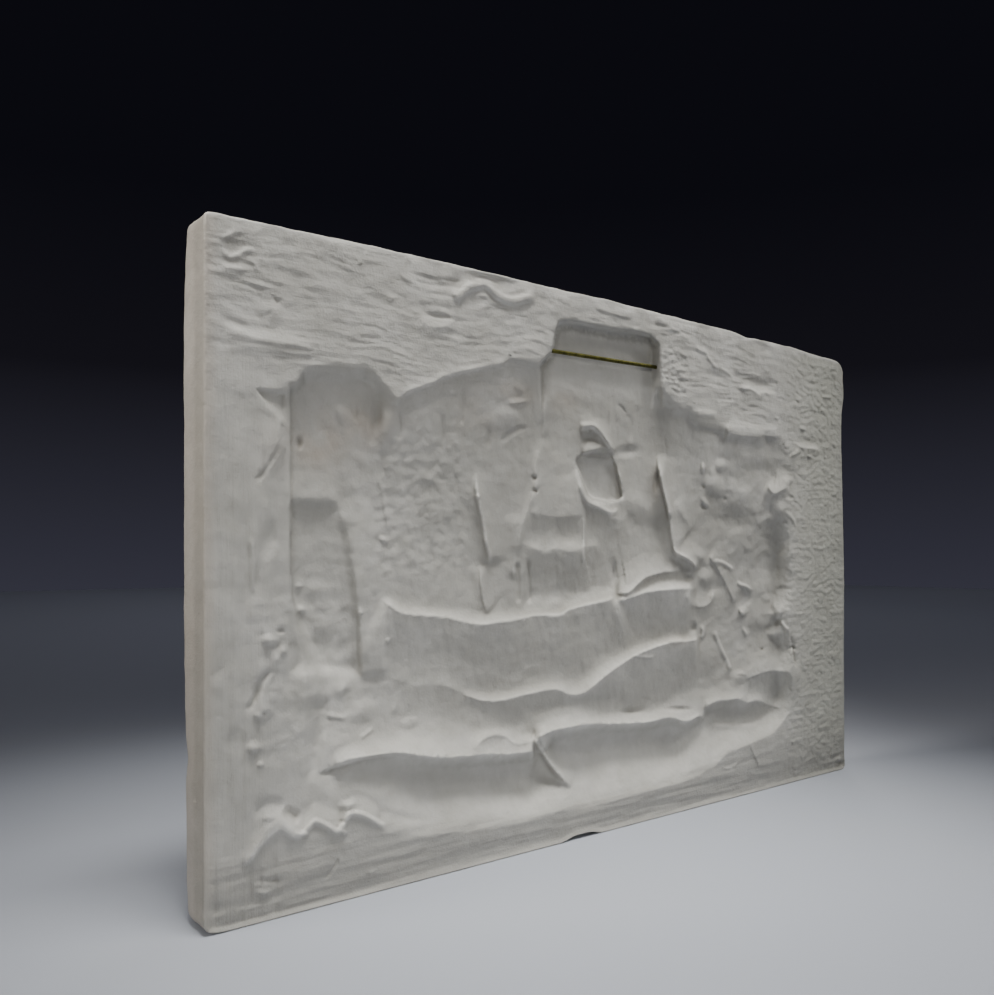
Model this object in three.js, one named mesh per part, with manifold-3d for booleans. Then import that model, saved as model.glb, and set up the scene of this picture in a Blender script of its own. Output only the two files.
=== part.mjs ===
// A cast plaster relief panel, made to hang. Its back was hollowed by hand while the plaster was
// wet, inside a rough flat rim, and a brass rod crosses a pocket cut in the rim to hang it by.
// Millimetres, +Z up. The back faces +Y and the relief faces -Y. The origin is the rod's middle.
import * as THREE from "three";
import { mergeVertices } from "three/addons/utils/BufferGeometryUtils.js";
import Module from "manifold-3d";

const wasm = await Module();
wasm.setup();

// The slab
const panelWidth = 700;
const panelHeight = 435;
const panelThickness = 36;
const topCrown = 5; // how far the top edge bows up at its middle
const topCornerRadius = 16;
const footCornerRadius = 5;
const arrisWidth = 3; // the worn edge all round, back and front
const arrisDepth = 2;

// The hanging rod and its pocket
const rodDiameter = 3;
const rodSides = 16;
const rodTilt = THREE.MathUtils.degToRad(1.2);
const rodInset = 343; // from the edge at +X to the rod's middle
const rodBelowTop = 42.5; // from the straight top line to the rod's middle
const rodDepth = 7.5; // from the rim's plane to the rod's middle
const rodEmbed = 14; // how far each end runs into the plaster
const rodClearance = 0.3;
const pocketWidth = 128;
const pocketDepth = 16;
const pocketAboveRod = 25;
const pocketBelowRod = 26;

// The front
const borderWidth = 26;
const borderBevel = 10;
const fieldSink = 9; // the field lies this far behind the border
const foldCount = 9;
const foldRise = 6;
const railRise = 7;
const swagRise = 8;

// The carving
const hollowDepth = 15;
const leafDepth = 6; // the long leaf-shaped hollows at the foot go this much deeper

const clamp = (value, low, high) => Math.min(high, Math.max(low, value));
const smooth = (t) => {
  const s = clamp(t, 0, 1);
  return s * s * (3 - 2 * s);
};
const mix = (a, b, t) => a + (b - a) * t;

// A line through [place, value] points, flat beyond its ends.
const through = (points) => (place) => {
  if (place <= points[0][0]) return points[0][1];
  for (let i = 1; i < points.length; i++) {
    const [a, b] = [points[i - 1], points[i]];
    if (place <= b[0]) return mix(a[1], b[1], (place - a[0]) / (b[0] - a[0]));
  }
  return points[points.length - 1][1];
};

// A bump of height 1 with a flat middle, that ends softly at its radii.
const mound = (across, up, x, z, radiusX, radiusZ) =>
  1 - smooth(Math.hypot((across - x) / radiusX, (up - z) / radiusZ));

// 1 between two ends, falling to 0 over a taper outside them.
const span = (place, from, to, taper) =>
  smooth((place - from) / taper + 1) * smooth((to - place) / taper + 1);

// The four edges of the hollow, across from the edge at +X and up from the foot. The top one is
// measured down from the panel's top, and the far one back from its far edge.
const belowTop = through([
  [50, 98], [66, 85], [98, 81], [112, 78], [137, 97], [173, 80], [220, 66],
  [234, 58], [412, 62], [445, 74], [500, 83], [548, 87], [575, 82], [605, 97], [640, 135],
]);
const hollowTop = (across) => panelHeight - belowTop(across);
const hollowFoot = through([
  [30, 60], [100, 57], [122, 41], [155, 31], [200, 26], [320, 23], [362, 26],
  [440, 26], [470, 33], [500, 43], [560, 50], [600, 80], [640, 100],
]);
const hollowNear = through([
  [60, 30], [110, 30], [160, 32], [215, 30], [275, 31], [300, 46], [330, 38], [345, 50],
]);
const shortOfFarEdge = through([
  [60, 115], [110, 88], [150, 92], [172, 102], [195, 90], [225, 97], [262, 89], [300, 72],
  [335, 88], [352, 110],
]);
const hollowFar = (up) => panelWidth - shortOfFarEdge(up);
const nearWall = 55; // the near wall drops here, behind a band that slopes from the rim
const nearBandDepth = 4;
const nearWallWidth = 6;
const farWallWidth = 62;
const topWallWidth = 8;
const footSlopeWidth = 44;

// The lips: ledges that swell outwards as they come down, and end in a crisp edge.
// line: the edge. swell and reach: its height and how far the swell begins above it.
// cut and fade: how deep it is undercut, and how far down that fades.
const lips = [
  {
    line: through([
      [125, 192], [150, 186], [183, 181], [215, 176.5], [260, 181], [290, 180.5], [305, 185],
      [352, 192], [372, 200], [400, 212], [440, 214],
    ]),
    from: 128, to: 425, taper: 12, swell: 6, reach: 11, cut: 1, fade: 30,
  },
  {
    line: through([
      [105, 147], [150, 138], [180, 132], [205, 122], [225, 119], [260, 122], [313, 117],
      [345, 130], [375, 141], [410, 151], [458, 153],
    ]),
    from: 215, to: 448, taper: 25, swell: 6, reach: 13, cut: 1.5, fade: 22,
  },
  {
    line: through([
      [88, 88], [105, 92], [137, 91.5], [175, 82.5], [225, 79], [258, 77], [268, 87], [305, 89.5],
      [385, 85], [425, 83], [441, 80], [462, 79], [470, 91], [513, 92.5], [548, 86.5], [590, 78],
    ]),
    from: 100, to: 540, taper: 32, swell: 8, reach: 15, cut: leafDepth, fade: 26,
  },
];

const lipForm = (lip, across, up) => {
  const above = up - lip.line(across);
  const strength = span(across, lip.from, lip.to, lip.taper);
  const form = above >= 0 ? lip.swell * Math.exp(-((above / lip.reach) ** 2)) : -lip.cut * Math.exp(above / lip.fade);
  return strength * form;
};

// How far the back lies behind the rim's plane, at a place that is seen there.
function backDepth(across, up) {
  const near = hollowNear(up);
  const nearRamp = smooth((across - nearWall) / nearWallWidth);
  const farRamp = smooth((hollowFar(up) - across) / farWallWidth);
  const band = nearBandDepth * smooth((across - near) / (nearWall - near)) * farRamp;
  const topRamp = smooth((hollowTop(across) - up) / topWallWidth);
  const footRamp = smooth(((up - hollowFoot(across)) / footSlopeWidth) * 0.5 + 0.5) * 2 - 1;
  const inside = clamp(Math.min(nearRamp, farRamp, topRamp, footRamp), 0, 1);
  const rim = Math.min(smooth((hollowTop(across) - up) / 20), smooth((up - hollowFoot(across)) / 20));
  let floor = hollowDepth;
  for (const lip of lips) floor -= lipForm(lip, across, up);
  floor += 3 * span(across, 60, 96, 8) * span(up, 185, 260, 8); // the boxy sinking at the near side
  floor -= 2.5 * span(across, 109, 124, 4) * span(up, 158, 330, 10); // the pillar beside it
  floor -= 3.5 * mound(across, up, 283, 285, 38, 42); // the swelling left of the oval
  floor += 4 * mound(across, up, 331, 293, 27, 24); // the oval sinking
  floor -= 4 * mound(across, up, 338, 322, 20, 14); // the hooked lump above it
  floor -= 3 * mound(across, up, 375, 262, 34, 42);
  floor -= 4 * span(across, 404, 414, 9) * span(up, 235, 308, 14); // the tall ridge
  floor -= 3 * mound(across, up, 483, 300, 26, 26);
  floor -= 3 * mound(across, up, 445, 222, 36, 18);
  floor -= 3 * mound(across, up, 455, 192, 26, 14); // the knob that ends the upper lip
  floor -= 3 * mound(across, up, 525, 215, 34, 40);
  return Math.max(0, Math.max(band * rim, inside * Math.max(1, floor)));
}

// The back is laid out as it looks from near its edge at +X: what lies deeper also lies further
// along the line of sight, which gives the near walls their draft.
const viewerAcross = -205;
const viewerUp = 228;
const viewerAway = 538;
const behind = (across, up, depth) => [
  across + ((across - viewerAcross) * depth) / viewerAway,
  up + ((up - viewerUp) * depth) / viewerAway,
];

// The front: a plain border round a sunk field of hanging drapery, whose upright folds fall from
// a rolled rail behind three long swags. The swags end in the same three lines as the lips.
const railHeight = panelHeight - 43;
const railRadius = 11;
const fieldFrom = 40;
const fieldTo = panelWidth - 40;

function frontRise(across, up) {
  const inset = Math.min(across, panelWidth - across, up, panelHeight - up) - borderWidth;
  if (inset <= 0) return 0;
  const pitch = (fieldTo - fieldFrom) / foldCount;
  const swing = 9 * Math.sin((Math.PI * (railHeight - up)) / 190); // the folds lean as they fall
  const [upper, middle, lower] = lips.map((lip) => lip.line(across));
  const hung = Math.abs(Math.sin((Math.PI * (across - fieldFrom + swing)) / pitch));
  const roll = Math.sqrt(clamp(1 - ((up - railHeight) / railRadius) ** 2, 0, 1));
  let rise = Math.max(up < railHeight ? foldRise * Math.sqrt(hung) : 0, railRise * roll);
  const swag = (from, to) => {
    const down = (from - up) / (from - to);
    return down > 0 && down <= 1 ? swagRise * mix(0.45, 1, smooth(down * 1.15)) : 0;
  };
  if (up < upper) rise = 1;
  rise = Math.max(rise, swag(upper + 46, upper), swag(upper, middle), swag(middle, lower));
  const field = smooth(inset / borderBevel);
  return field * (Math.min(rise, fieldSink) - fieldSink);
}

// The outline
const cornerDrop = (across, radius) => {
  const out = radius - Math.min(across, panelWidth - across);
  return out > 0 ? radius - Math.sqrt(radius * radius - out * out) : 0;
};
const topEdge = (across) =>
  panelHeight + (topCrown * 4 * across * (panelWidth - across)) / panelWidth ** 2 -
  cornerDrop(across, topCornerRadius);
const footEdge = (across) => cornerDrop(across, footCornerRadius);

// Places for a row of points: each stretch is cut into equal steps.
const spread = (stretches) => {
  const places = [stretches[0][0]];
  for (const [from, to, steps] of stretches)
    for (let k = 1; k <= steps; k++) places.push(mix(from, to, k / steps));
  return places;
};
const arc = [1, 2, 3].map((k) => topCornerRadius * (1 - Math.cos((k * Math.PI) / 8)));
const farRim = panelWidth - 60;
const inner = spread([
  [topCornerRadius, 30, 1], [30, 54, 3], [54, 61, 1], [61, 133, 8], [133, 255, 10],
  [255, 275, 3], [275, 420, 15], [420, 540, 11], [540, farRim, 7],
  [farRim, panelWidth - topCornerRadius, 2],
]);
const columns = [
  0, ...arc, ...inner, ...arc.map((reach) => panelWidth - reach).reverse(), panelWidth,
];

// The rows of one column run through the hollow's edges and both sides of each lip.
const lipGap = 0.8;
function rowsAt(across) {
  const [upper, middle, lower] = lips.map((lip) => lip.line(across));
  const top = topEdge(across);
  const foot = footEdge(across);
  const rim = hollowTop(across);
  const sill = hollowFoot(across);
  return spread([
    [foot, foot + arrisWidth, 1], [foot + arrisWidth, Math.min(sill, lower - 20), 2],
    [Math.min(sill, lower - 20), lower - lipGap, 5], [lower - lipGap, lower + lipGap, 1],
    [lower + lipGap, middle - lipGap, 4], [middle - lipGap, middle + lipGap, 1],
    [middle + lipGap, upper - lipGap, 4], [upper - lipGap, upper + lipGap, 1],
    [upper + lipGap, rim - topWallWidth, 8], [rim - topWallWidth, rim, 1],
    [rim, top - arrisWidth, 3], [top - arrisWidth, top, 1],
  ]);
}

// A place on the panel, across from the edge at +X, up from the foot and behind the rim's plane.
const place = (across, up, depth) => [
  rodInset - across,
  rodDepth - depth,
  up - (panelHeight - rodBelowTop),
];

// A closed mesh from a grid on the back and the same grid on the front.
function slab() {
  const positions = [];
  const rowCount = rowsAt(0).length;
  const worn = (i, j) =>
    i === 0 || j === 0 || i === columns.length - 1 || j === rowCount - 1 ? arrisDepth : 0;
  for (const side of ["back", "front"])
    columns.forEach((across, i) =>
      rowsAt(across).forEach((up, j) => {
        if (side === "back") {
          const depth = backDepth(across, up);
          const [seatX, seatZ] = behind(across, up, depth);
          positions.push(...place(seatX, seatZ, depth + worn(i, j)));
        } else {
          const depth = panelThickness + frontRise(across, up) - worn(i, j);
          positions.push(...place(across, up, depth));
        }
      }),
    );
  const index = [];
  const layer = columns.length * rowCount;
  const at = (i, j, level) => level * layer + i * rowCount + j;
  const quad = (a, b, c, d) => index.push(a, c, b, a, d, c);
  for (let i = 0; i + 1 < columns.length; i++) {
    for (let j = 0; j + 1 < rowCount; j++) {
      quad(at(i, j, 0), at(i, j + 1, 0), at(i + 1, j + 1, 0), at(i + 1, j, 0));
      quad(at(i, j, 1), at(i + 1, j, 1), at(i + 1, j + 1, 1), at(i, j + 1, 1));
    }
    const last = rowCount - 1;
    quad(at(i, 0, 0), at(i + 1, 0, 0), at(i + 1, 0, 1), at(i, 0, 1));
    quad(at(i, last, 0), at(i, last, 1), at(i + 1, last, 1), at(i + 1, last, 0));
  }
  for (let j = 0; j + 1 < rowCount; j++) {
    const last = columns.length - 1;
    quad(at(0, j, 0), at(0, j, 1), at(0, j + 1, 1), at(0, j + 1, 0));
    quad(at(last, j, 0), at(last, j + 1, 0), at(last, j + 1, 1), at(last, j, 1));
  }
  const geometry = new THREE.BufferGeometry();
  geometry.setAttribute("position", new THREE.Float32BufferAttribute(positions, 3));
  geometry.setIndex(index);
  return geometry;
}

// Joining and cutting
function solidOf(geometry) {
  const bare = geometry.clone();
  bare.deleteAttribute("normal");
  bare.deleteAttribute("uv");
  const merged = mergeVertices(bare, 1e-4);
  return new wasm.Manifold(
    new wasm.Mesh({
      numProp: 3,
      vertProperties: merged.attributes.position.array,
      triVerts: new Uint32Array(merged.index.array),
    }),
  );
}

function geometryOf(solid) {
  const { vertProperties, triVerts } = solid.getMesh();
  const geometry = new THREE.BufferGeometry();
  geometry.setAttribute("position", new THREE.BufferAttribute(vertProperties, 3));
  geometry.setIndex(new THREE.BufferAttribute(triVerts, 1));
  geometry.computeVertexNormals();
  return geometry;
}

// The rod lies along X, with its end at -X a little higher.
const alongRod = new THREE.Matrix4()
  .makeRotationY(rodTilt)
  .multiply(new THREE.Matrix4().makeRotationZ(Math.PI / 2));
const rodLength = pocketWidth + 2 * rodEmbed;
const bar = (radius, length) =>
  new THREE.CylinderGeometry(radius, radius, length, rodSides).applyMatrix4(alongRod);

// The pocket is cut from beyond the rim down to its floor.
const cutPast = 10;
const pocket = new THREE.BoxGeometry(
  pocketWidth, pocketDepth + cutPast, pocketAboveRod + pocketBelowRod,
).translate(0, rodDepth + cutPast - (pocketDepth + cutPast) / 2, (pocketAboveRod - pocketBelowRod) / 2);
const bore = bar(rodDiameter / 2 + rodClearance, rodLength + 2 * rodClearance);

const plaster = new THREE.MeshStandardMaterial({ color: "#c9c8c2", roughness: 0.92, metalness: 0 });
const brass = new THREE.MeshStandardMaterial({ color: "#7d7033", roughness: 0.42, metalness: 0.9 });

const panel = new THREE.Mesh(
  geometryOf(solidOf(slab()).subtract(solidOf(pocket)).subtract(solidOf(bore))), plaster,
);
panel.name = "plaster_panel";
const rod = new THREE.Mesh(bar(rodDiameter / 2, rodLength), brass);
rod.name = "hanging_rod";

const relief = new THREE.Group();
relief.add(panel, rod);
export default relief;
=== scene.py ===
"""A cast plaster relief panel seen from behind: a brushed rim, a hollow worked by hand while the
plaster was wet, and a brass rod across a pocket in the rim to hang it by."""

import math

import bpy
import numpy as np
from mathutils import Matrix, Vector


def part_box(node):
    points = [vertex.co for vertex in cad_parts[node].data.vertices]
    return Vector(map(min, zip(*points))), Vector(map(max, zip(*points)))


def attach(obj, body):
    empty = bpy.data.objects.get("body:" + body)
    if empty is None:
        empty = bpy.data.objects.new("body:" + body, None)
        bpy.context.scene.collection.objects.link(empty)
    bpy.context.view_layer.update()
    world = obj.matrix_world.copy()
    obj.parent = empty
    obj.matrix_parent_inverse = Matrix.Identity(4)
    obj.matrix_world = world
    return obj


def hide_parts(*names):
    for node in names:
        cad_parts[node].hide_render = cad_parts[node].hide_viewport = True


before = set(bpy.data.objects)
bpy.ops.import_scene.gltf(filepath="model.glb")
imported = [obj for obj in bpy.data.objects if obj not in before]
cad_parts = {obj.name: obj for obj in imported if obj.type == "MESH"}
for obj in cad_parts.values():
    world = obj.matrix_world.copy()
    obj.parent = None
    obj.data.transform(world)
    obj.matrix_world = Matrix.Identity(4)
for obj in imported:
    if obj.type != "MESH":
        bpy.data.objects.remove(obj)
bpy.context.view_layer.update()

# Sizes in millimetres. A place on the panel is (across, up, deep): across from the edge at +X,
# up from the foot, and deep behind the plane of the rim.
MM = 0.001
low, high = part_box("plaster_panel")
TOP_CROWN = 5.0
WIDTH = (high.x - low.x) / MM
HEIGHT = (high.z - low.z) / MM - TOP_CROWN
THICKNESS = (high.y - low.y) / MM
EDGE_X = high.x / MM
RIM_Y = high.y / MM
FOOT_Z = low.z / MM
NEAR_TOP_CORNER = 4.0
FAR_TOP_CORNER = 16.0
FOOT_CORNER = 5.0
ARRIS = 1.6

ROD_DIAMETER = 3.0
ROD_TILT = math.radians(1.2)
POCKET_DEPTH = 13.5

HOLLOW_DEPTH = 17.0
UNDER_LIP_DEPTH = 23.0
DEEPEST = THICKNESS - 8.0
PROUDEST = 2.6

# The back is laid out as it looks from here, so what lies deeper also lies further along the
# line of sight.
VIEW_ACROSS = -205.4
VIEW_UP = 228.2
VIEW_AWAY = 538.3
VIEW_TURN = math.radians(51.45)
VIEW_FOCUS = 920.0
PICTURE_HEIGHT = 995.0
HORIZON_BELOW_MIDDLE = 58.0

# The grid's steps, finer towards the near end, and its first few places at each edge
EDGE_LEAD = np.array([0.0, 0.35, 0.9, 1.7, 2.8])
EDGE_FIRST = 4.0
STEP_NEAR = 1.05
STEP_FAR = 1.9
STEP_UP = 1.15
MOST_TRIANGLES = 192000


# Small helpers
def smooth(t):
    """An S-shaped step from 0 to 1 as t goes from 0 to 1."""
    t = np.clip(t, 0.0, 1.0)
    return t * t * (3.0 - 2.0 * t)


def through(*points):
    """A line through (place, value) points, flat beyond its ends."""
    xs, ys = zip(*points)
    return lambda place: np.interp(place, xs, ys)


def between(place, low, low_soft, high, high_soft):
    """1 between the two places, running out softly over a width beside each."""
    return smooth((place - low) / low_soft) * smooth((high - place) / high_soft)


def soft_min(a, b, blend):
    """The lesser of two values, with a rounded change from one to the other."""
    h = np.clip(0.5 + 0.5 * (b - a) / blend, 0.0, 1.0)
    return b + (a - b) * h - blend * h * (1.0 - h)


_angles = {}


def noise(x, y, seed):
    """Smooth noise from about -1 to 1, with one bump to a unit."""
    if seed not in _angles:
        _angles[seed] = np.random.default_rng(seed).random((256, 256)) * 2.0 * math.pi
    x0, y0 = np.floor(x).astype(int), np.floor(y).astype(int)
    fx, fy = x - x0, y - y0
    ex = fx * fx * fx * (fx * (fx * 6.0 - 15.0) + 10.0)
    ey = fy * fy * fy * (fy * (fy * 6.0 - 15.0) + 10.0)
    total = 0.0
    for dx in (0, 1):
        for dy in (0, 1):
            angle = _angles[seed][(x0 + dx) & 255, (y0 + dy) & 255]
            weight = (ex if dx else 1.0 - ex) * (ey if dy else 1.0 - ey)
            total = total + weight * (np.cos(angle) * (fx - dx) + np.sin(angle) * (fy - dy))
    return total * 1.5


def rough(x, y, seed, layers=3):
    """Noise in layers, each half as high and about twice as fine as the one before."""
    total, scale, part = 0.0, 1.0, 1.0
    for k in range(layers):
        total = total + part * noise(x * scale, y * scale, seed + k)
        scale *= 2.03
        part *= 0.5
    return total


# The panel's outline, and the grid of the back as seen
def drop_at(near_corner, far_corner, across):
    """How far a rounded corner lies in from the straight edge."""
    corner = np.where(across < WIDTH / 2.0, near_corner, far_corner)
    out = np.clip(corner - np.minimum(across, WIDTH - across), 0.0, corner)
    return corner - np.sqrt(corner * corner - out * out)


top_wear = through(
    (0, 0), (190, 0.3), (260, -0.4), (340, 0.5), (450, 0.2), (505, 0.8), (530, -1.6), (560, 0.2),
    (610, 0.6), (650, -0.4), (700, 0),
)
far_wear = through(
    (0, 0), (40, 0), (120, 1.2), (200, 0.4), (300, 4.2), (350, 6.2), (378, 6.0), (398, 1.6),
    (415, 3.4), (435, 2),
)


def top_edge(across):
    bow = TOP_CROWN * 4.0 * across * (WIDTH - across) / WIDTH**2
    ragged = 0.45 * rough(across / 22.0, across * 0.0 + 3.1, 11, 3)
    corners = drop_at(NEAR_TOP_CORNER, FAR_TOP_CORNER, across)
    return HEIGHT + bow - 0.4 + top_wear(across) + ragged - corners


def foot_edge(across):
    chip = 3.2 * np.exp(-(((across - 312.0) / 17.0) ** 4))
    near = 2.0 * np.exp(-(across / 7.0) ** 2)
    ragged = 0.15 * rough(across / 30.0, across * 0.0, 13)
    return drop_at(FOOT_CORNER, FOOT_CORNER, across) + chip + near + ragged


def with_edges(inner, length):
    return np.concatenate([EDGE_LEAD, inner, length - EDGE_LEAD[::-1]])


def widening_steps(length):
    """Places from one edge to the other, STEP_NEAR apart at first and STEP_FAR at the end."""
    first = EDGE_FIRST
    inner = [first]
    while inner[-1] < length - first:
        share = inner[-1] / length
        inner.append(inner[-1] + (STEP_NEAR + (STEP_FAR - STEP_NEAR) * share))
    inner = np.array(inner)
    return first + (inner - first) * (length - 2.0 * first) / (inner[-1] - first)


def trimmed(places):
    """Drops places near the middle until the steps divide by three, for the coarser front."""
    while (len(places) - 1) % 3:
        places = np.delete(places, len(places) - 8)
    return places


across_steps = trimmed(with_edges(widening_steps(WIDTH), WIDTH))
up_count = int((HEIGHT - 2.0 * EDGE_FIRST) / STEP_UP)
up_steps = trimmed(with_edges(np.linspace(EDGE_FIRST, HEIGHT - EDGE_FIRST, up_count), HEIGHT))

U, T = np.meshgrid(across_steps, up_steps, indexing="ij")
foot_line, top_line = foot_edge(U), top_edge(U)
half = HEIGHT / 2.0
V = np.where(T < half, foot_line + T * (1.0 - foot_line / half), T)
V = np.where(T >= half, T + (top_line - HEIGHT) * (T - half) / half, V)
FAR_WEAR_REACH = 60.0
U = U - far_wear(V) * smooth((U - WIDTH + FAR_WEAR_REACH) / FAR_WEAR_REACH)


# Features. Each adds to the rise: millimetres out of the surface, towards the viewer.
rise = np.zeros_like(U)
# Where a crest gets a painted highlight, from 0 to 1.
painted_highlight = np.zeros_like(U)


def window(points, reach):
    """The part of the grid round the points, out to the reach and a little more."""
    us, vs = [p[0] for p in points], [p[1] for p in points]
    i = np.searchsorted(across_steps, [min(us) - reach - 8.0, max(us) + reach + 8.0])
    j = np.searchsorted(up_steps, [min(vs) - reach - 8.0, max(vs) + reach + 8.0])
    return slice(*i), slice(*j)


def curve(points, parts=5):
    """A smooth line through the points; any further values of a point follow it."""
    p = np.array(points, float)
    if len(p) < 3:
        return p
    ends = np.vstack([2 * p[0] - p[1], p, 2 * p[-1] - p[-2]])
    out = []
    for k in range(1, len(ends) - 2):
        a, b, c, d = ends[k - 1 : k + 3]
        for t in np.arange(parts) / parts:
            out.append(
                0.5 * (2 * b + (c - a) * t + (2 * a - 5 * b + 4 * c - d) * t**2
                       + (3 * b - a - 3 * c + d) * t**3)
            )
    out.append(p[-1])
    return np.array(out)


def along(line, us, vs):
    """Signed distance to a line (left of its direction is positive), the length from its start,
    its whole length, and the line's further values at the nearest place."""
    best = np.full(us.shape, 1e9)
    side, run = np.zeros(us.shape), np.zeros(us.shape)
    more = [np.zeros(us.shape) for _ in range(line.shape[1] - 2)]
    length = 0.0
    for a, b in zip(line[:-1], line[1:]):
        step = b[:2] - a[:2]
        size = max(float(np.hypot(*step)), 1e-6)
        t = np.clip(((us - a[0]) * step[0] + (vs - a[1]) * step[1]) / size**2, 0.0, 1.0)
        du, dv = us - a[0] - t * step[0], vs - a[1] - t * step[1]
        gap = np.hypot(du, dv)
        near = gap < best
        best = np.where(near, gap, best)
        turn = step[0] * dv - step[1] * du
        side = np.where(near, np.where(turn >= 0, gap, -gap), side)
        run = np.where(near, length + t * size, run)
        for k, values in enumerate(more):
            more[k] = np.where(near, a[2 + k] + t * (b[2 + k] - a[2 + k]), values)
        length += size
    return side, run, length, more


def tapered(run, length, taper):
    """1 along a line, running out at both ends."""
    return smooth(run / taper) * smooth((length - run) / taper)


def lip(points, fall=24.0, cut=0.0, taper=10.0, crisp=0.8, highlight=0.0):
    """A bank that comes out towards its edge and falls away behind it, like the hem of a fold.
    Points are (across, up, reach, rise). The bank lies on the left of the line, over the reach,
    and the fall is on the right; cut is a sharp drop at the edge itself. A fifth value of each
    point makes the fall an even slope of that width."""
    line = curve(points)
    even = len(points[0]) > 4
    widest = max(max(p[2] for p in points), max(p[4] for p in points) if even else fall)
    at = window(points, 3.2 * widest)
    side, run, length, more = along(line, U[at], V[at])
    reach, height = more[:2]
    out = np.maximum(side, 0.0) / reach
    bank = height * (0.6 * np.exp(-1.6 * out) + 0.4 * np.exp(-out * out))
    if even:
        behind = np.clip(1.0 + side / more[2], 0.0, 1.0) ** 1.2
    else:
        behind = np.exp(np.minimum(side, 0.0) / fall)
    share = smooth(side / crisp + 0.5)
    form = bank * share + (height - cut) * behind * (1.0 - share)
    rise[at] += form * tapered(run, length, taper)
    # A painted highlight along the edge, as strong as the highlight given
    edge = smooth((side + 0.8) / 1.2) * (1.0 - smooth((side - 1.0) / 2.6))
    painted_highlight[at] = np.maximum(painted_highlight[at], highlight * edge * tapered(run, length, taper))


def ridge(points, height, left, right, taper=6.0, highlight=0.0):
    """A thin ridge, or a groove if height is negative, with its two flanks' widths."""
    line = curve([(*p[:2],) for p in points])
    at = window(points, max(left, right))
    side, run, length, _ = along(line, U[at], V[at])
    across = np.where(side >= 0, side / left, -side / right)
    rise[at] += height * (1.0 - smooth(across)) * tapered(run, length, taper)
    # A painted highlight along the crest, as strong as the highlight given
    edge = 1.0 - smooth((np.abs(side - 0.4) - 0.7) / 1.6)
    painted_highlight[at] = np.maximum(painted_highlight[at], highlight * edge * tapered(run, length, taper))


def mound(across, up, radius_across, radius_up, height, turn=0.0, flat=0.0):
    """A lump, or a dent if height is negative, turned by so many degrees."""
    at = window([(across, up)], max(radius_across, radius_up))
    c, s = math.cos(math.radians(turn)), math.sin(math.radians(turn))
    du, dv = U[at] - across, V[at] - up
    out = np.hypot((du * c + dv * s) / radius_across, (dv * c - du * s) / radius_up)
    rise[at] += height * (1.0 - smooth((out - flat) / (1.0 - flat)))


def patch(points, height, soft, lean_across=0.0, lean_up=0.0):
    """A flat facet with straight sides, raised or sunk, and leaning by millimetres to a
    millimetre."""
    closed = np.array(list(points) + [points[0]], float)
    at = window(points, soft)
    us, vs = U[at], V[at]
    inside = np.zeros(us.shape, bool)
    best = np.full(us.shape, 1e9)
    for a, b in zip(closed[:-1], closed[1:]):
        step = b - a
        t = np.clip(((us - a[0]) * step[0] + (vs - a[1]) * step[1]) / (step @ step), 0.0, 1.0)
        best = np.minimum(best, np.hypot(us - a[0] - t * step[0], vs - a[1] - t * step[1]))
        with np.errstate(divide="ignore", invalid="ignore"):
            crossing = a[0] + (vs - a[1]) * step[0] / step[1]
        inside ^= ((a[1] > vs) != (b[1] > vs)) & (us < crossing)
    middle = closed[:-1].mean(0)
    plane = height + lean_across * (us - middle[0]) + lean_up * (vs - middle[1])
    rise[at] += plane * smooth(np.where(inside, best, -best) / soft + 0.5)


# The hollow's four edges. Each line gives a place on the edge for a place along it.
hollow_top = through(
    (28, 331), (33, 333), (45, 335), (60, 340), (65, 349), (80, 353.5), (100, 355), (110, 358),
    (117, 354), (124, 347), (130, 342), (136, 337), (145, 343), (155, 346), (165, 350),
    (174, 356), (185, 359.5), (200, 364), (215, 368.5), (230, 373), (236, 378), (265, 379),
    (280, 384), (402, 384), (410, 373.5), (425, 371), (445, 368), (456, 359), (485, 356.5),
    (500, 348), (550, 346), (560, 352), (575, 354.5), (592, 350), (612, 338), (640, 305),
)
# Below its arris the wall drops quickly by a share of the depth, then slopes on to the floor.
top_quick = through(
    (40, 0.2), (60, 0.3), (112, 0.3), (130, 0.2), (150, 0.06), (235, 0.07), (262, 0.2), (285, 0.70),
    (385, 0.70), (420, 0.26), (470, 0.13), (540, 0.10), (565, 0.02), (600, 0.0),
)
top_wall = through(
    (50, 8), (80, 14), (112, 16), (136, 8), (150, 3), (235, 3), (262, 8), (285, 18),
    (380, 18), (440, 12), (500, 8), (550, 8), (580, 16), (640, 30),
)
top_slope = through(
    (50, 60), (110, 75), (140, 90), (235, 90), (285, 50), (370, 50), (460, 90), (540, 95), (600, 140),
)
# The foot's slope, from the rim up to where it meets the floor
hollow_foot = through(
    (25, 36), (30, 44), (40, 54), (50, 58.5), (58, 51), (65, 50), (73, 57), (82, 52), (91, 47),
    (96, 54), (100, 57), (110, 54.5), (119, 48), (122, 42), (135, 37), (150, 33), (165, 29.5),
    (180, 29), (200, 26.5), (250, 25), (290, 26), (305, 23.5), (320, 22.5), (340, 24), (380, 26),
    (425, 25.5), (440, 27), (455, 29), (468, 32), (478, 32.5), (488, 39), (500, 44), (530, 47.5),
    (570, 53), (600, 72), (640, 100),
)
slope_head = through(
    (50, 152), (66, 150), (76, 126), (84, 110), (92, 107), (120, 101), (160, 93), (182, 85), (200, 77),
    (225, 70), (255, 59), (270, 64), (300, 71), (330, 69), (350, 72), (372, 69), (400, 64), (425, 62),
    (434, 66), (446, 75), (462, 80), (490, 78), (520, 74), (560, 72), (600, 96), (640, 120),
)
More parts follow.
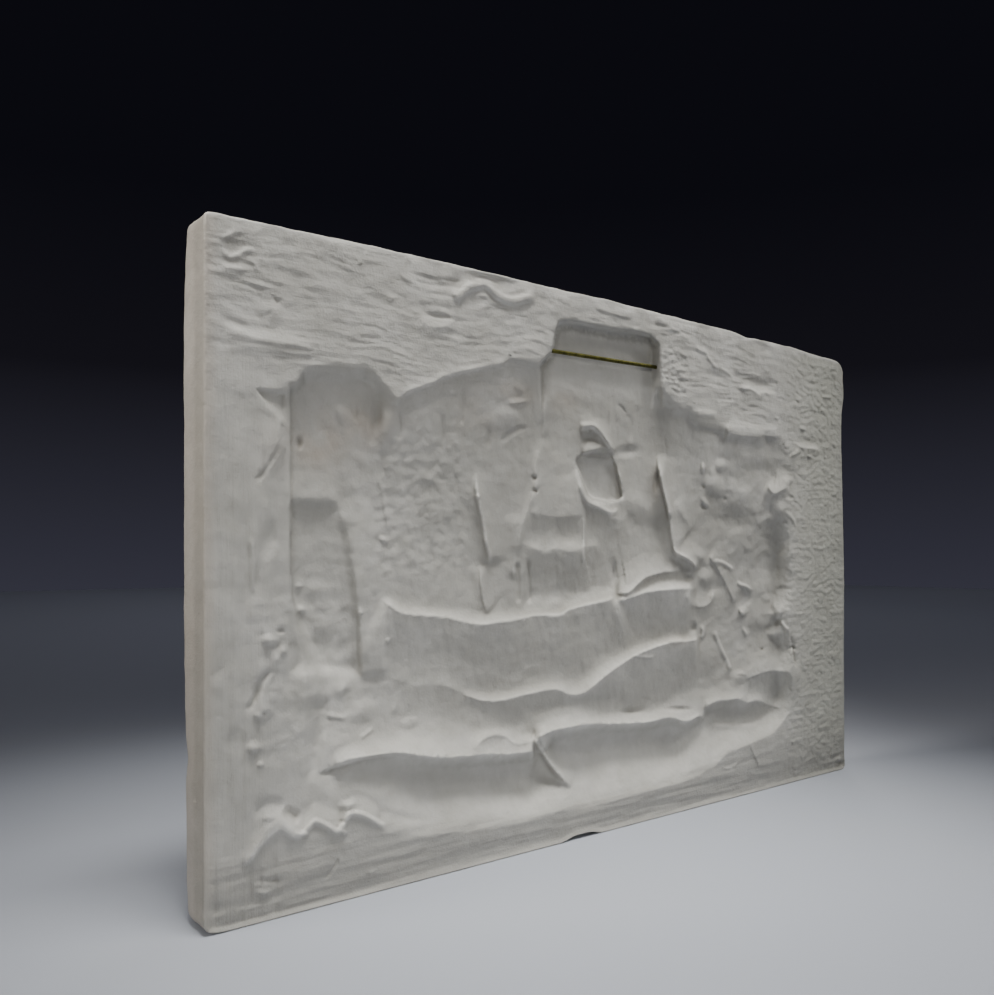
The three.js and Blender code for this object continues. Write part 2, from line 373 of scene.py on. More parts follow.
# Where the band beside the near wall starts, and the far side's edge
near_edge = through(
    (30, 26), (60, 50), (66, 33), (110, 30), (150, 34), (180, 38), (215, 29), (240, 32),
    (262, 31), (276, 31), (287, 42), (300, 49), (312, 50), (326, 36), (334, 45), (350, 60),
)
far_edge = through(
    (40, 585), (75, 603), (100, 612), (118, 618), (135, 614), (152, 606), (172, 600), (195, 611),
    (225, 604), (262, 610), (290, 615), (305, 618), (330, 606), (350, 585),
)
# The line of the main lip, above which the floor is less deep
main_lip = through(
    (60, 86), (87, 90), (110, 92.7), (138, 91.6), (170, 84), (197, 81), (230, 78), (263, 76),
    (280, 88), (320, 90), (385, 84.7), (416, 85), (440, 79.3), (460, 81), (470, 91), (513, 92.8),
    (549, 87), (590, 74),
)
NEAR_WALL = 54.5
NEAR_BAND = 4.5
NEAR_WALL_WIDTH = 2.2
NEAR_SLOPE_WIDTH = 30.0
FAR_WALL_WIDTH = 48.0
FAR_SLOPE_WIDTH = 45.0
FOOT_CORNER_RISE = 3.0
OVER_LIP_RISE = 6.0


def hollow_depth():
    """How deep the hand-worked hollow is, without its features."""
    wall_place = NEAR_WALL + 1.5 * noise(V / 40.0, V * 0.0, 21) + 0.6 * noise(V / 9.0, V * 0.0, 22)
    near_width = NEAR_WALL_WIDTH + NEAR_SLOPE_WIDTH * smooth((215.0 - V) / 70.0)
    near = smooth((U - wall_place) / near_width)
    band = NEAR_BAND * smooth((U - near_edge(V)) / (NEAR_WALL - near_edge(V)) * 0.9)
    band = band * smooth((far_edge(V) - U) / 40.0)
    far_width = FAR_WALL_WIDTH + 10.0 * noise(V / 35.0, V * 0.0 + 5.0, 23)
    far_width = far_width + FAR_SLOPE_WIDTH * smooth((V - 240.0) / 60.0)
    far = smooth((far_edge(V) - U) / far_width)
    # From the top edge down, softer at its arris on the far side
    below = np.maximum(hollow_top(U) - V, 0.0)
    below = below * below / (below + 0.01 + 16.0 * smooth((U - 408.0) / 30.0))
    quick = top_quick(U)
    slow = (1.0 - np.exp(-below / top_slope(U))) / (1.0 - np.exp(-150.0 / top_slope(U)))
    top = quick * smooth(below / top_wall(U)) + (1.0 - quick) * np.minimum(slow, 1.0)
    # From the foot up
    head = slope_head(U)
    foot_line = hollow_foot(U)
    climb = (V - foot_line) / np.maximum(head - foot_line, 5.0)
    foot = soft_min(np.clip(climb, 0.0, 3.0), 1.0 + 0.0 * climb, 0.5)
    foot = np.maximum(foot, 0.0)
    # The floor, deeper under the main lip and raised above it at the near side
    floor = HOLLOW_DEPTH + 1.2 * rough(U / 75.0, V / 60.0, 25, 2)
    low = smooth((main_lip(U) + 1.0 - V) / 9.0)
    floor = floor + (UNDER_LIP_DEPTH - HOLLOW_DEPTH) * low * between(U, 120.0, 60.0, 545.0, 100.0)
    floor = floor - FOOT_CORNER_RISE * low * smooth((150.0 - U) / 50.0)
    over_lip = smooth((150.0 - V) / 50.0) * smooth((V - main_lip(U)) / 2.0 + 1.0)
    floor = floor - OVER_LIP_RISE * over_lip * between(U, 72.0, 10.0, 150.0, 60.0)
    inside = np.minimum(near, soft_min(far, top, 0.3).clip(0.0, 1.0))
    rim_side = smooth((hollow_top(U) - V) / 16.0) * smooth((V - foot_line) / 14.0)
    return np.maximum(floor * soft_min(inside, foot, 0.08).clip(0.0, 1.0), band * rim_side)


def pocket_depth():
    """The pocket for the wall hook, cut through the top rim and open into the hollow."""
    left = through((366, 266), (378, 266), (388, 278), (393, 279.5), (402, 281), (414, 285.5))(V)
    right = through((360, 409), (373, 410), (400, 408.5), (412, 407.5))(V)
    top = through(
        (284, 412), (288, 415), (300, 417), (350, 418), (380, 420), (392, 419.5), (408, 412)
    )(U)
    return POCKET_DEPTH * between(U, left, 1.4, right, 16.5) * smooth((top - V) / 4.0) * smooth(
        (V - 300.0) / 60.0
    )


# The long lips: the banked folds of the casting, which end in crisp edges.

# The upper lip
lip([(121, 199, 3.2, 2, 40), (131, 193, 3.9, 5.5, 48), (141, 188, 3.9, 6.5, 48),
    (160, 185.5, 3.9, 6.5, 48), (176, 184, 3.9, 6.5, 48), (190, 180.5, 4.5, 7, 50),
    (201, 178, 5.2, 7.5, 50), (212, 177, 5.9, 8, 50), (225, 178, 6.5, 8, 52),
    (238, 178.5, 5.2, 7, 54), (250, 180, 3.9, 6, 54), (262, 181.5, 3.2, 5.5, 54),
    (285, 181, 2.9, 6.6, 54), (292, 182.5, 2.9, 6.6, 56), (300, 185.5, 3.2, 6.6, 58),
    (330, 189.5, 4.5, 7.2, 56), (343, 191.5, 5.2, 7.8, 52), (353, 197, 4.5, 4.8, 50)], cut=0.8)
# Its far part, above
lip([(347, 197, 8, 3), (356, 196.5, 14, 6), (366, 197, 18, 8), (376, 203, 18, 8.5),
    (386, 208.5, 16, 8), (398, 211.5, 13, 6.5), (412, 213.5, 10, 4.5), (436, 214.5, 6, 2.5)],
    fall=5, cut=0.8, taper=8)
# Its far part, below
lip([(345, 190.5, 5, 4.5, 50), (354, 190, 5.5, 6.5, 48), (370, 192.5, 5.5, 7, 46),
    (385, 196, 6, 8.5, 46), (400, 197.5, 6.8, 9.8, 44), (425, 198.3, 6.8, 9.8, 42),
    (443, 198.3, 6.8, 9.1, 40), (456, 197, 6, 6.5, 34)], cut=0.8, taper=14)
# The rounded tongue at its end
lip([(438, 196, 6, 1.5), (443, 188, 7, 2.5), (449, 183.5, 8, 3), (458, 181.5, 9, 3.5),
    (467, 182, 9, 3.5), (474, 185.5, 8, 3), (478, 191, 6, 3), (477, 198, 6, 2)], fall=10, cut=0.6,
    taper=7)
# The middle lip
lip([(190, 128, 3.8, 1.5, 16), (200, 124, 3.8, 3, 18), (208, 121.5, 3.8, 4.5, 20),
    (216, 120, 3.8, 5.5, 22), (225, 119.3, 4.1, 6, 22), (237, 119.8, 4.5, 6, 22),
    (250, 121.3, 4.5, 6, 24), (276, 122.7, 5.2, 6, 24), (288, 121.3, 6, 6, 22),
    (296, 117.5, 6.8, 6.5, 20), (305, 116.2, 7.5, 7, 20), (315, 117.3, 7.5, 7.5, 22),
    (323, 120.8, 8.2, 8, 26), (332, 125.5, 8.2, 8.5, 32), (343, 131, 8.2, 8.5, 38),
    (353, 135.3, 7.5, 8.5, 44), (363, 139, 6.8, 8, 48), (375, 143.3, 6, 9.2, 52),
    (388, 146.3, 5.2, 9.2, 54), (405, 149.6, 4.5, 8.6, 54), (425, 152, 3.8, 8, 50),
    (440, 151.3, 3.4, 6.9, 44), (459, 152.2, 3.4, 5.2, 38)], cut=0.8, taper=7)
# The faint run of the middle lip, near side
lip([(106, 147.5, 6, 0.8), (125, 145.5, 7, 1.0), (150, 137.5, 8, 1.3), (172, 135.5, 7, 1.5),
    (188, 129.5, 6, 1.6), (202, 122.5, 5, 1.4)], fall=12, cut=0.3, taper=14, crisp=2.5)
# The main lip, near part
lip([(85, 90, 5, 2), (97, 92.2, 7, 5), (110, 92.7, 8, 7), (125, 92.6, 9, 8.5), (138, 91.6, 10, 9.5),
    (147, 89.5, 11, 10), (158, 86.6, 12, 10.5), (170, 84, 13, 10.5), (182, 82.2, 13, 10),
    (197, 81.2, 14, 9.5), (215, 80, 16, 10), (228, 78.2, 15, 10), (238, 77.2, 13, 10),
    (250, 76.6, 12, 10), (262, 77, 11, 9)], fall=8, cut=1.2, taper=5)
# Its arched seam above the lobe
lip([(201, 84, 4, 1), (206, 89, 5, 2.2), (212, 92.8, 5, 2.8), (222, 94.2, 5, 3), (232, 91.5, 6, 3),
    (240, 86, 7, 3), (250, 84.5, 7, 3), (262, 86, 6, 2)], fall=5, cut=0.4, taper=6)
# The main lip, beyond the stalk
lip([(262, 83, 9, 6), (268, 87.5, 10, 8.5), (280, 89.8, 9, 9), (300, 90.6, 9, 9),
    (320, 90.2, 8, 8.5), (340, 88.4, 7, 8), (362, 86.2, 7, 8), (385, 84.7, 7, 8), (402, 84.8, 8, 8),
    (416, 85.2, 9, 8.5), (425, 83.8, 10, 8.5), (432, 80.8, 11, 8.5), (439, 79.3, 11, 8),
    (446, 79.6, 10, 7.5), (454, 81.8, 9, 6.5), (460, 81.4, 8, 5), (470, 76.5, 5, 2)], fall=8,
    cut=1.2, taper=7)
# The main lip, far part
lip([(462, 88.6, 6, 2.5), (474, 91.5, 8, 5), (484, 93.3, 9, 6), (500, 92.8, 10, 6.5),
    (513, 92.8, 10, 6.5), (520, 90.6, 10, 6.5), (528, 87.3, 9, 6), (536, 87.6, 8, 5.5),
    (549, 86.8, 7, 4.5), (562, 82, 7, 2.5), (584, 76, 7, 1)], fall=8, cut=0.8, taper=9)
# The thick stalk that joins the lip to the foot slope
lip([(257, 90, 8, 3), (262, 83, 10, 8), (269, 74, 11, 10), (277, 64, 11, 9.5), (285, 55.5, 10, 7),
    (293, 47.5, 9, 3.5), (300, 41, 8, 0.8)], fall=3, cut=1.5, taper=6, highlight=0.5)
mound(262, 84, 5, 3.6, 1.6)

# The bank above the main lip, and a swelling that carries the middle lip
for lump in (
    (175, 96, 120, 22, 1.8), (300, 99, 70, 13, 2.6), (370, 96, 20, 4, -1.8, -4),
    (430, 92, 24, 3.5, -1.6, -6), (455, 95, 45, 14, 1.8), (545, 108, 75, 40, 3.4, 0, 0.1),
):
    mound(*lump)
lip([(526, 110, 22, 1), (546, 113, 28, 3.4), (566, 114.8, 32, 5.2), (594, 111.6, 32, 5.6),
    (609, 109.3, 26, 4.4), (618, 116, 14, 2)], fall=12, cut=0.8, taper=9, highlight=0.35)
ridge([(371, 143), (385, 141), (399, 139.7)], 0.9, 2.5, 1.5)
ridge([(459, 152), (463.5, 157), (462, 166)], 1.7, 3.5, 5, taper=5)
mound(449, 163, 8, 7, -2.4, turn=30)
ridge([(475, 71.5), (500, 69.5), (522, 66), (546, 64)], 0.9, 3, 6)

# The near side of the hollow: a boxy sinking, the pillar beside it, and lumps by the wall
lip([(52, 263, 16, 1.6), (66, 264, 22, 2.6), (78, 263.5, 22, 2.6), (92, 265, 16, 1.6)], fall=4,
    taper=7, crisp=3)
patch([(58, 263), (84, 263), (96, 245), (101, 215), (104, 180), (105, 150), (58, 156)], -2.8, 9.0,
    lean_up=0.03)
for lump in (
    (80, 168, 34, 14, -1.6), (76, 140, 24, 12, 1.4), (72, 205, 14, 9, 0.9),
):
    mound(*lump)
lip([(88, 262, 14, 1), (93, 254, 18, 1.8), (97, 243, 18, 2.4), (101, 226, 16, 2.8),
    (104, 205, 16, 2.8), (105, 180, 18, 2.4), (105.5, 152, 18, 1.8)], fall=14, taper=12, crisp=5)
patch([(107, 263), (112, 263), (125, 205), (126, 151), (107, 151), (106, 200)], 0.8, 6.0)
lip([(104, 151, 10, 1), (116, 150.5, 12, 1.3), (129, 151, 10, 1)], fall=5, taper=5, crisp=3)
mound(118, 145, 18, 6, -0.8)
ridge([(105, 153), (104.5, 165), (104, 190)], -1.2, 3, 3)
mound(94, 141, 9, 6, 1.4, turn=40)
ridge([(80, 124), (88, 122.5), (97, 119.5)], 1.2, 3, 2)
mound(108, 124, 15, 10, 1.6)
ridge([(104, 105), (112, 109), (118, 113)], 1.0, 2, 3)
for lump in (
    (146, 112, 9, 5, 1.0, 0, 0.3), (134, 124, 8, 4, 0.8, 50), (128, 170, 2.6, 2.2, 1.4),
    (63, 193.5, 5, 3.6, 2.6, -10), (62, 208.5, 3.5, 2.5, 1.5), (106.5, 190, 3, 2.2, 1.2),
    (62, 300, 3.5, 6, -2.2), (94, 321, 7, 9, 1.0, 20, 0.2), (104, 322, 3, 8, -0.9),
    (128, 318, 9, 24, 2.0, -12, 0.1), (119, 326, 6, 26, -1.8, -10),
):
    mound(*lump)
ridge([(137, 330), (139, 318), (136, 306)], -0.9, 3, 3)
ridge([(120, 283), (124, 270), (127, 255), (130, 243)], 0.7, 3, 2)
ridge([(173, 332), (174, 318), (172, 300)], -0.8, 3, 3)
ridge([(191, 352), (192, 338), (191, 322)], -0.6, 3, 3)
ridge([(214, 326), (216, 316), (213, 306)], -0.8, 3, 4)

# The thin upright ridges of the upper hollow
lip([(203, 291, 6, 1), (204, 280, 8, 2.4), (205.3, 271, 9, 3.6), (208, 262, 11, 3.4),
    (212, 246, 13, 3.4), (213.5, 238, 13, 4), (217, 228, 13, 3.4), (219, 220, 13, 2.4)], fall=7,
    cut=0.8, taper=7)
ridge([(203, 284), (204.5, 275), (207, 264), (210.5, 250), (212.5, 240), (215.5, 230),
    (217.5, 220)], 1.4, 3.0, 3.0, taper=8, highlight=0.45)
mound(205.5, 271.5, 4, 2.6, 1.4)
mound(212.5, 238, 3, 3, 0.8)
lip([(206.5, 222, 9, 2), (207.5, 210, 10, 2.6), (209, 200, 11, 2.8), (212, 190, 11, 2.8),
    (216, 184, 8, 2)], fall=5, cut=1.0, taper=5)
mound(199, 204, 7, 16, -0.9)
lip([(241, 262, 8, 1), (242, 240, 9, 2), (241, 225, 9, 2), (240, 208, 8, 1.5)], fall=8, taper=9,
    crisp=3)
ridge([(243, 225), (243.5, 208), (244, 190)], -1.8, 4.5, 3.5)
ridge([(254, 226), (255, 208), (256, 190)], -1.4, 3, 3)
ridge([(271, 356), (270.5, 335), (270, 318)], 0.8, 5, 2)
mound(347.5, 214, 5, 15, -2.2)
ridge([(303, 203), (303, 194)], -0.5, 1.5, 1.5, taper=3)
mound(243, 353, 12, 6, 1.0, turn=8)
ridge([(233, 343), (243, 344.5), (256, 347.5)], 0.9, 3, 2.5)
mound(243, 352, 8, 6, -1.2)
mound(230, 332, 26, 12, 0.9, turn=12)
ridge([(226, 312), (233, 319), (244, 325), (253, 327)], -0.9, 3, 5)
for lump in (
    (165, 282, 10, 7, 0.9), (170, 262, 28, 14, 0.7), (124, 239, 4.5, 3, 1.2, -20),
):
    mound(*lump)

# The middle of the upper hollow: stepped blocks beside a flat-bottomed opening
lip([(252, 262, 14, 0.8), (264, 260.5, 30, 2.6), (282, 259, 36, 3), (300, 260, 34, 3),
    (311, 261, 24, 2.2), (318, 262, 16, 1)], fall=9, taper=10, crisp=6.0)
lip([(244, 238, 6, 0.6, 30), (256, 235, 7, 2.4, 34), (264, 233, 8, 3.6, 36),
    (272, 231.5, 8, 3.2, 36), (284, 234, 8, 3.6, 38), (298, 231.5, 9, 4.8, 38),
    (308, 233.5, 8, 4.2, 36), (316, 236, 6, 2, 34), (338, 236, 6, 1, 34)], taper=12, crisp=3.0)
patch([(252, 231), (358, 230), (354, 198), (252, 192)], -1.2, 16.0, lean_up=0.09)
mound(299, 235.5, 12, 5, 1.0)
lip([(272, 322, 14, 1), (265, 310, 18, 2.4), (260.5, 297, 18, 3), (262, 285, 16, 3),
    (257, 272, 16, 3), (250, 257, 14, 3), (245, 243, 12, 2), (243, 228, 10, 1)], fall=6, cut=0.4,
    taper=9)
mound(260.5, 288.5, 4, 2.6, -2.0)
mound(261, 278.5, 4, 2.4, -2.4)
ridge([(313.5, 262), (313.5, 240), (313, 220)], 1.2, 2.2, 3.0)
patch([(304.5, 303), (311, 290), (317.5, 278.5), (323, 275), (340, 273), (352, 274.5), (357.5, 278),
    (354, 292), (350, 303), (344, 311.5), (322, 312.5), (307, 308)], -4.6, 2.6, lean_up=0.03)
patch([(306, 309), (348, 309), (346, 302), (307, 302)], 0.8, 3.0, lean_up=0.25)
ridge([(309, 289), (312, 281), (317, 274), (324, 270.5), (334, 268), (342, 265), (348, 264.5),
    (353, 269)], 1.8, 3.2, 4.0, taper=6, highlight=0.5)
lip([(303, 297, 7, 1), (307, 288, 9, 2), (311.5, 279, 9, 3), (317.5, 271.5, 9, 3.2),
    (327, 268.5, 9, 3.2), (338, 264.5, 9, 3.4), (346, 260.5, 10, 3.4), (356, 258.5, 10, 2),
    (366, 261, 10, 1)], fall=16, taper=6, crisp=2.0, highlight=0.5)
mound(376, 270, 40, 17, 2.2, turn=-8)
lip([(308, 330.5, 4, 1.5), (316, 332.5, 5, 3.4), (325, 333.5, 6, 4), (332, 330, 7, 4.4),
    (339, 324, 7, 4.4), (345, 318, 6, 3.6), (350, 313, 5, 1.5)], fall=6, cut=0.4, taper=4, highlight=0.6)
ridge([(309, 332), (316, 334.5), (324, 335), (331, 331.5), (338, 325.5), (344, 319.5),
    (349, 314.5)], 1.6, 2.4, 3.2, taper=4, highlight=0.7)
mound(320.5, 331.5, 3, 1.6, -1.6)
mound(318, 323, 13, 5, -1.6, turn=8)
lip([(310, 310.5, 6, 1.5), (318, 313, 7, 3.4), (328, 315.5, 8, 3.4), (338, 316, 7, 2.6),
    (347, 317, 5, 1.2)], fall=5, cut=0.3, taper=4)
mound(365, 316, 22, 7, -1.6, turn=8)
ridge([(349, 355), (357, 352), (364, 347)], -0.8, 3, 2)
ridge([(343, 351), (344, 339), (342, 327)], 0.7, 3, 1.8)
ridge([(365, 349), (369, 337), (366, 323)], -0.6, 3, 3)
mound(392, 372, 20, 14, 0.7)
ridge([(350, 300), (356, 290), (356.5, 280)], 1.4, 4, 2)

# The tall ridge on the far side of the middle, and its foot
lip([(401.5, 318, 10, 1.5), (402.5, 307, 18, 4), (405.5, 295, 20, 5.5), (409, 284, 20, 6),
    (414.5, 270, 20, 6.6), (417.5, 258, 20, 7), (420, 245, 18, 7), (423.5, 234, 15, 7),
    (429, 229, 12, 7), (437, 226.6, 11, 7), (445, 223.6, 11, 6.4), (451, 219.5, 11, 5),
    (457, 213.5, 9, 2)], fall=9, cut=1.5, taper=8)
ridge([(402.5, 312), (404.5, 302), (407.5, 292), (411, 283), (415.5, 270), (418, 258)], 2.2, 8.0,
    3.0, taper=9, highlight=0.5)
mound(408, 299, 6, 13, 1.6, turn=-12)
ridge([(421, 236), (426, 230.5), (434, 228.5), (443, 225), (450, 220.5), (456, 215)], 1.6, 3.0, 3.0,
    highlight=0.6)
mound(400, 293, 5, 14, -2.2, turn=-8)
mound(406, 248, 12, 28, -1.4, turn=-12)
lip([(424, 278, 10, 0.8), (430, 270, 12, 1.8), (440, 259, 12, 1.6), (448, 246, 10, 0.8)], fall=5,
    taper=7)
for lump in (
    (432, 244, 16, 16, 1.0), (443, 207, 10, 4.5, -2.2), (468, 208, 15, 11, 2.6),
    (460, 228, 18, 8, 1.6, -35),
):
    mound(*lump)

# Lumps and dents on the far side of the hollow
for lump in (
    (481, 293, 19, 14, 3.2, -12, 0.1), (489, 312, 14, 9, 1.8, 10), (463.5, 308, 4, 7, 2.4),
    (476, 305, 8, 6, 1.4), (463, 291.5, 4, 3, -1.5), (494, 281.5, 5, 3, -1.0),
    (467, 276, 10, 4.5, 1.8, -35), (465, 272.5, 10, 3.5, -1.2), (522, 286, 26, 14, 1.2, -8),
    (505, 262, 44, 17, -1.4), (545, 282, 22, 12, -1.0), (566, 264, 16, 9, 1.7),
):
    mound(*lump)
lip([(560, 298, 8, 1.5), (567, 291, 12, 3.6), (573, 288.5, 14, 4.4), (581, 291, 14, 4.4),
    (591, 295, 12, 4.2), (600, 296, 10, 2.5)], fall=7, cut=0.6, taper=5)
for lump in (
    (597, 303, 12, 7, 1.6), (598, 287, 8, 4, -1.4), (583, 273, 19, 13, 1.8),
):
    mound(*lump)
ridge([(590, 272), (598, 269.5), (605, 265), (608.5, 257)], 1.0, 2.5, 5, highlight=0.3)
mound(578, 240, 30, 20, -0.6)
mound(632, 344, 28, 8, -1.5)
lip([(610, 341, 3, 0.8), (620, 338, 4, 1.7), (632, 338.5, 4, 1.8), (644, 338, 4, 1.8),
    (653, 335, 4, 0.8)], fall=5, taper=5, highlight=0.6)
ridge([(600, 329), (608, 330.5), (616, 335)], 1.4, 3, 3)
ridge([(627, 329), (634, 329.6), (641, 328)], 1.2, 3, 2.5)
ridge([(614, 357.5), (621, 356.5), (630, 357.5)], 1.5, 3.5, 2.5)
mound(560, 312, 48, 15, -1.8)
lip([(471, 229, 6, 1), (476, 224, 8, 2.6), (484, 217, 9, 2.6), (491, 208.5, 9, 2.6),
    (500, 198, 8, 2.4), (506, 190, 7, 2.4), (511, 182.5, 6, 1.6)], fall=5, cut=0.5, taper=5)
ridge([(478, 224), (490, 222.5), (500, 219), (509, 214.5)], 1.6, 2, 5, highlight=0.6)
ridge([(512, 204), (520, 201), (529, 198.5), (537, 194)], 1.6, 2, 5, highlight=0.7)
mound(525, 188, 16, 12, -2.8, flat=0.1)
mound(523, 174.5, 9, 6, 2.6, turn=-10)
ridge([(516, 180), (520, 174), (527, 171.5)], 1.4, 3, 3)
ridge([(480, 160), (484, 152), (489, 144), (496, 134), (501, 127), (505, 119)], 1.6, 3, 6, taper=7,
    highlight=0.5)
ridge([(521, 161), (526, 156), (531, 151)], 1.2, 2, 4, highlight=0.5)
mound(549, 168, 24, 18, 2.2, flat=0.1)
mound(576, 163, 11, 9, -1.8)
lip([(568, 181, 7, 1), (574, 177, 9, 1.5), (581, 172.5, 9, 1.5), (585, 168, 8, 0.8)], fall=6,
    taper=4)
ridge([(583, 163.5), (590, 158), (598, 152.5)], 1.4, 2.5, 5, taper=4, highlight=0.5)
for lump in (
    (571, 151, 15, 7, 1.6), (602, 135.5, 10, 3, -1.6, -6), (560, 186, 10, 6, 1.2),
    (560, 215, 32, 18, -1.6), (515, 238, 32, 24, 1.2),
):
    mound(*lump)
patch([(505, 290), (602, 290), (600, 205), (512, 205)], 0.0, 30.0, lean_up=0.05)
mound(552, 137, 4, 2, -1.2)
mound(514, 113, 24, 9, 1.8)
ridge([(510, 116.5), (520, 116.5), (530, 113.5)], 0.8, 3, 2)
mound(500, 112, 14, 8, -1.4)
mound(470, 135, 26, 20, 1.6)

# The rim above the hollow: ledges, gouges and dragged crests
lip([(12, 366.5, 5, 0.8), (22, 364.5, 6, 1.6), (40, 362.6, 6, 2), (58, 362.4, 6, 2),
    (76, 363.4, 5, 1)], fall=16, taper=8, highlight=0.3)
ridge([(10, 371.5), (28, 369.5), (50, 369)], -0.9, 5, 4)
mound(42, 381, 12, 8, 1.2)
ridge([(10, 402.5), (17, 403), (27, 403.5)], 1.0, 1.8, 4, taper=4, highlight=0.4)
mound(19, 415, 9, 5, -1.2)
ridge([(11, 414), (14, 410.5), (17, 409.8), (22, 413), (28, 417), (33, 418)], 1.0, 1.8, 3, taper=4,
    highlight=0.45)
ridge([(31, 411), (33, 407), (36, 405)], 0.8, 2, 3, taper=3, highlight=0.3)
ridge([(8, 419.5), (14, 422), (21, 427), (30, 428.5), (38, 431)], 1.0, 1.8, 3, taper=4, highlight=0.45)
ridge([(43, 392), (47, 388), (50, 391)], -1.0, 2, 2, taper=3)
ridge([(38, 377), (44, 381)], -0.8, 2, 2, taper=3)
mound(168, 398.5, 17, 3.6, -1.8, turn=3)
lip([(153, 394.5, 3, 0.8), (160, 391.8, 4, 1.6), (170, 391, 4, 1.8), (178, 393.5, 3.4, 1.8),
    (186, 398, 3, 1)], fall=5, taper=5, highlight=0.7)
mound(216, 433.5, 36, 8, -2.8, turn=2)
mound(186, 426, 12, 7, -1.8, turn=25)
ridge([(181, 417.5), (187, 416.5), (191, 419), (196, 423.5), (203, 426.8), (211, 430), (218, 427.8),
    (226, 423), (238, 421.5), (250, 425.6), (262, 429)], 3.2, 4.0, 5.5, taper=7, highlight=1.0)
lip([(139, 338.5, 2.5, 0.5), (150, 345.5, 3, 1.1), (165, 351, 3, 1.2), (174, 356.5, 3, 1.2),
    (185, 360.5, 3, 1.2), (200, 365, 3.5, 1.4), (215, 369.5, 3, 1.2), (232, 374, 3, 0.6)], fall=2,
    taper=8, highlight=0.9)
ridge([(202, 419.5), (212, 420.5), (222, 416.5), (236, 415)], 0.7, 2.5, 2.5)
ridge([(208, 408), (214, 411), (211, 404)], -0.5, 1.5, 1.5, taper=3)
ridge([(135, 423), (142, 420.5), (150, 418.5)], 0.7, 2.5, 2)
ridge([(104, 423.5), (110, 425.5)], 0.9, 2, 2, taper=3)
ridge([(127, 404), (134, 405.5)], 0.8, 2, 2, taper=3)
ridge([(118, 382), (122, 384), (130, 381)], 0.5, 2, 2, taper=3)
ridge([(284, 433.5), (292, 430.5), (298, 432)], 0.9, 1.8, 4, taper=4, highlight=0.3)
ridge([(325, 431), (345, 429.5), (372, 429.5)], 0.8, 3, 2)
ridge([(398, 433.5), (412, 431.5), (425, 428.6), (440, 424), (447, 422.5)], 1.1, 1.6, 4.5, highlight=0.6)
ridge([(452, 418), (460, 414.5), (467, 414.5), (472, 410), (479, 404.5), (486, 402)], 1.1, 1.6, 4.5,
    highlight=0.6)
ridge([(486, 402), (497, 400.5), (505, 397), (511, 394.5)], 1.0, 1.6, 4.5, taper=4, highlight=0.5)
mound(547, 393, 38, 7, -2.4)
lip([(518, 385.5, 3, 1), (526, 388, 3, 2), (534, 388.6, 3, 2.2), (541, 386.5, 3, 2.2),
    (549, 383.8, 3.4, 2.4), (557, 387, 3, 2.2), (566, 385.5, 3, 2), (577, 387, 3, 0.8)], fall=8,
    cut=0.2, taper=6, highlight=1.0)
ridge([(505, 398.5), (530, 397.5), (555, 397), (580, 398.5)], -1.1, 6, 6)
ridge([(452, 359), (466, 358.5), (484, 358.8)], 1.2, 3, 6, highlight=0.45)
lip([(495, 347.5, 5, 2), (504, 346, 7, 3.4), (520, 346, 7, 3.6), (532, 348.5, 7, 3.4),
    (548, 347.5, 6, 3), (558, 351, 6, 1.6), (580, 351.5, 6, 1)], fall=16, cut=0.3, taper=6, highlight=0.6)
for lump in (
    (478, 392, 14, 11, -1.4, 30), (561, 408.5, 7, 2.2, 0.8), (577, 364, 4, 2.5, 1.2),
):
    mound(*lump)
ridge([(655, 393), (665, 394), (676, 394.5)], 0.9, 3, 2)
mound(565, 368, 22, 10, 0.9)

# The near rim below and beside the hollow: chips, blobs and thumbed edges
patch([(33, 331.5), (52, 330.5), (50.5, 313), (45, 316)], -0.9, 2.0, lean_across=-0.02,
    lean_up=-0.12)
ridge([(50.5, 314), (49.5, 300), (43, 288), (36, 278), (30, 274)], -1.0, 3, 2.2)
mound(41, 238, 7, 18, -1.8, turn=-8)
mound(33, 214, 3, 12, -1.0)
ridge([(29, 240), (31, 225), (31, 205)], 0.8, 2.5, 2.5)
for lump in (
    (42, 175, 7, 5, 2.4, -15), (51, 168, 4, 5, 2.0), (49, 180.5, 4, 2.8, -1.6),
    (46, 164, 5, 6, 1.5),
):
    mound(*lump)
ridge([(43, 158), (36, 149), (32, 140), (26, 131)], -1.6, 4, 3.5)
for lump in (
    (38, 131, 9, 8, 1.6, 20), (38, 129.5, 3, 2, -1.2), (34, 129, 4, 3, 1.2),
    (31.5, 109, 5.5, 4.2, 2.4, -10), (36, 98.5, 3, 2.6, 1.4), (20, 115, 12, 12, -1.1),
    (8, 157, 9, 5, -0.8, 40),
):
    mound(*lump)
ridge([(30, 66), (38, 72.5), (46, 72.5), (51, 67)], -1.3, 6, 6, taper=6)
ridge([(50, 68), (57, 62.5), (64, 60)], -1.7, 6, 5, taper=5)
mound(43, 65, 7, 4, 1.2)
lip([(25, 36, 4, 1), (30, 44, 5, 2.2), (38, 52.5, 5, 2.6), (48, 58.5, 5, 3), (54, 56.5, 5, 2.6),
    (60, 50.5, 5, 2), (66, 50.5, 5, 1.6)], fall=5, cut=0.3, taper=5, highlight=0.5)
ridge([(27, 38), (34, 48), (44, 56), (50, 57.5), (58, 50.5), (65, 51), (73, 56.5), (82, 52),
    (90, 47), (96, 54.5), (100, 57), (108, 55), (118, 49), (128, 42)], 1.6, 2.6, 4.0, highlight=0.9)
for lump in (
    (66, 49, 5, 2.5, 1.8), (94, 45.5, 4, 2.4, 2.0, -30), (93, 52.5, 4, 2.4, -1.6),
    (97, 63, 9, 4.5, 1.8),
):
    mound(*lump)
ridge([(30, 27.5), (40, 25.5), (52, 23)], -1.2, 3, 3)
mound(38, 18.5, 8, 2.4, 1.5, turn=-12)
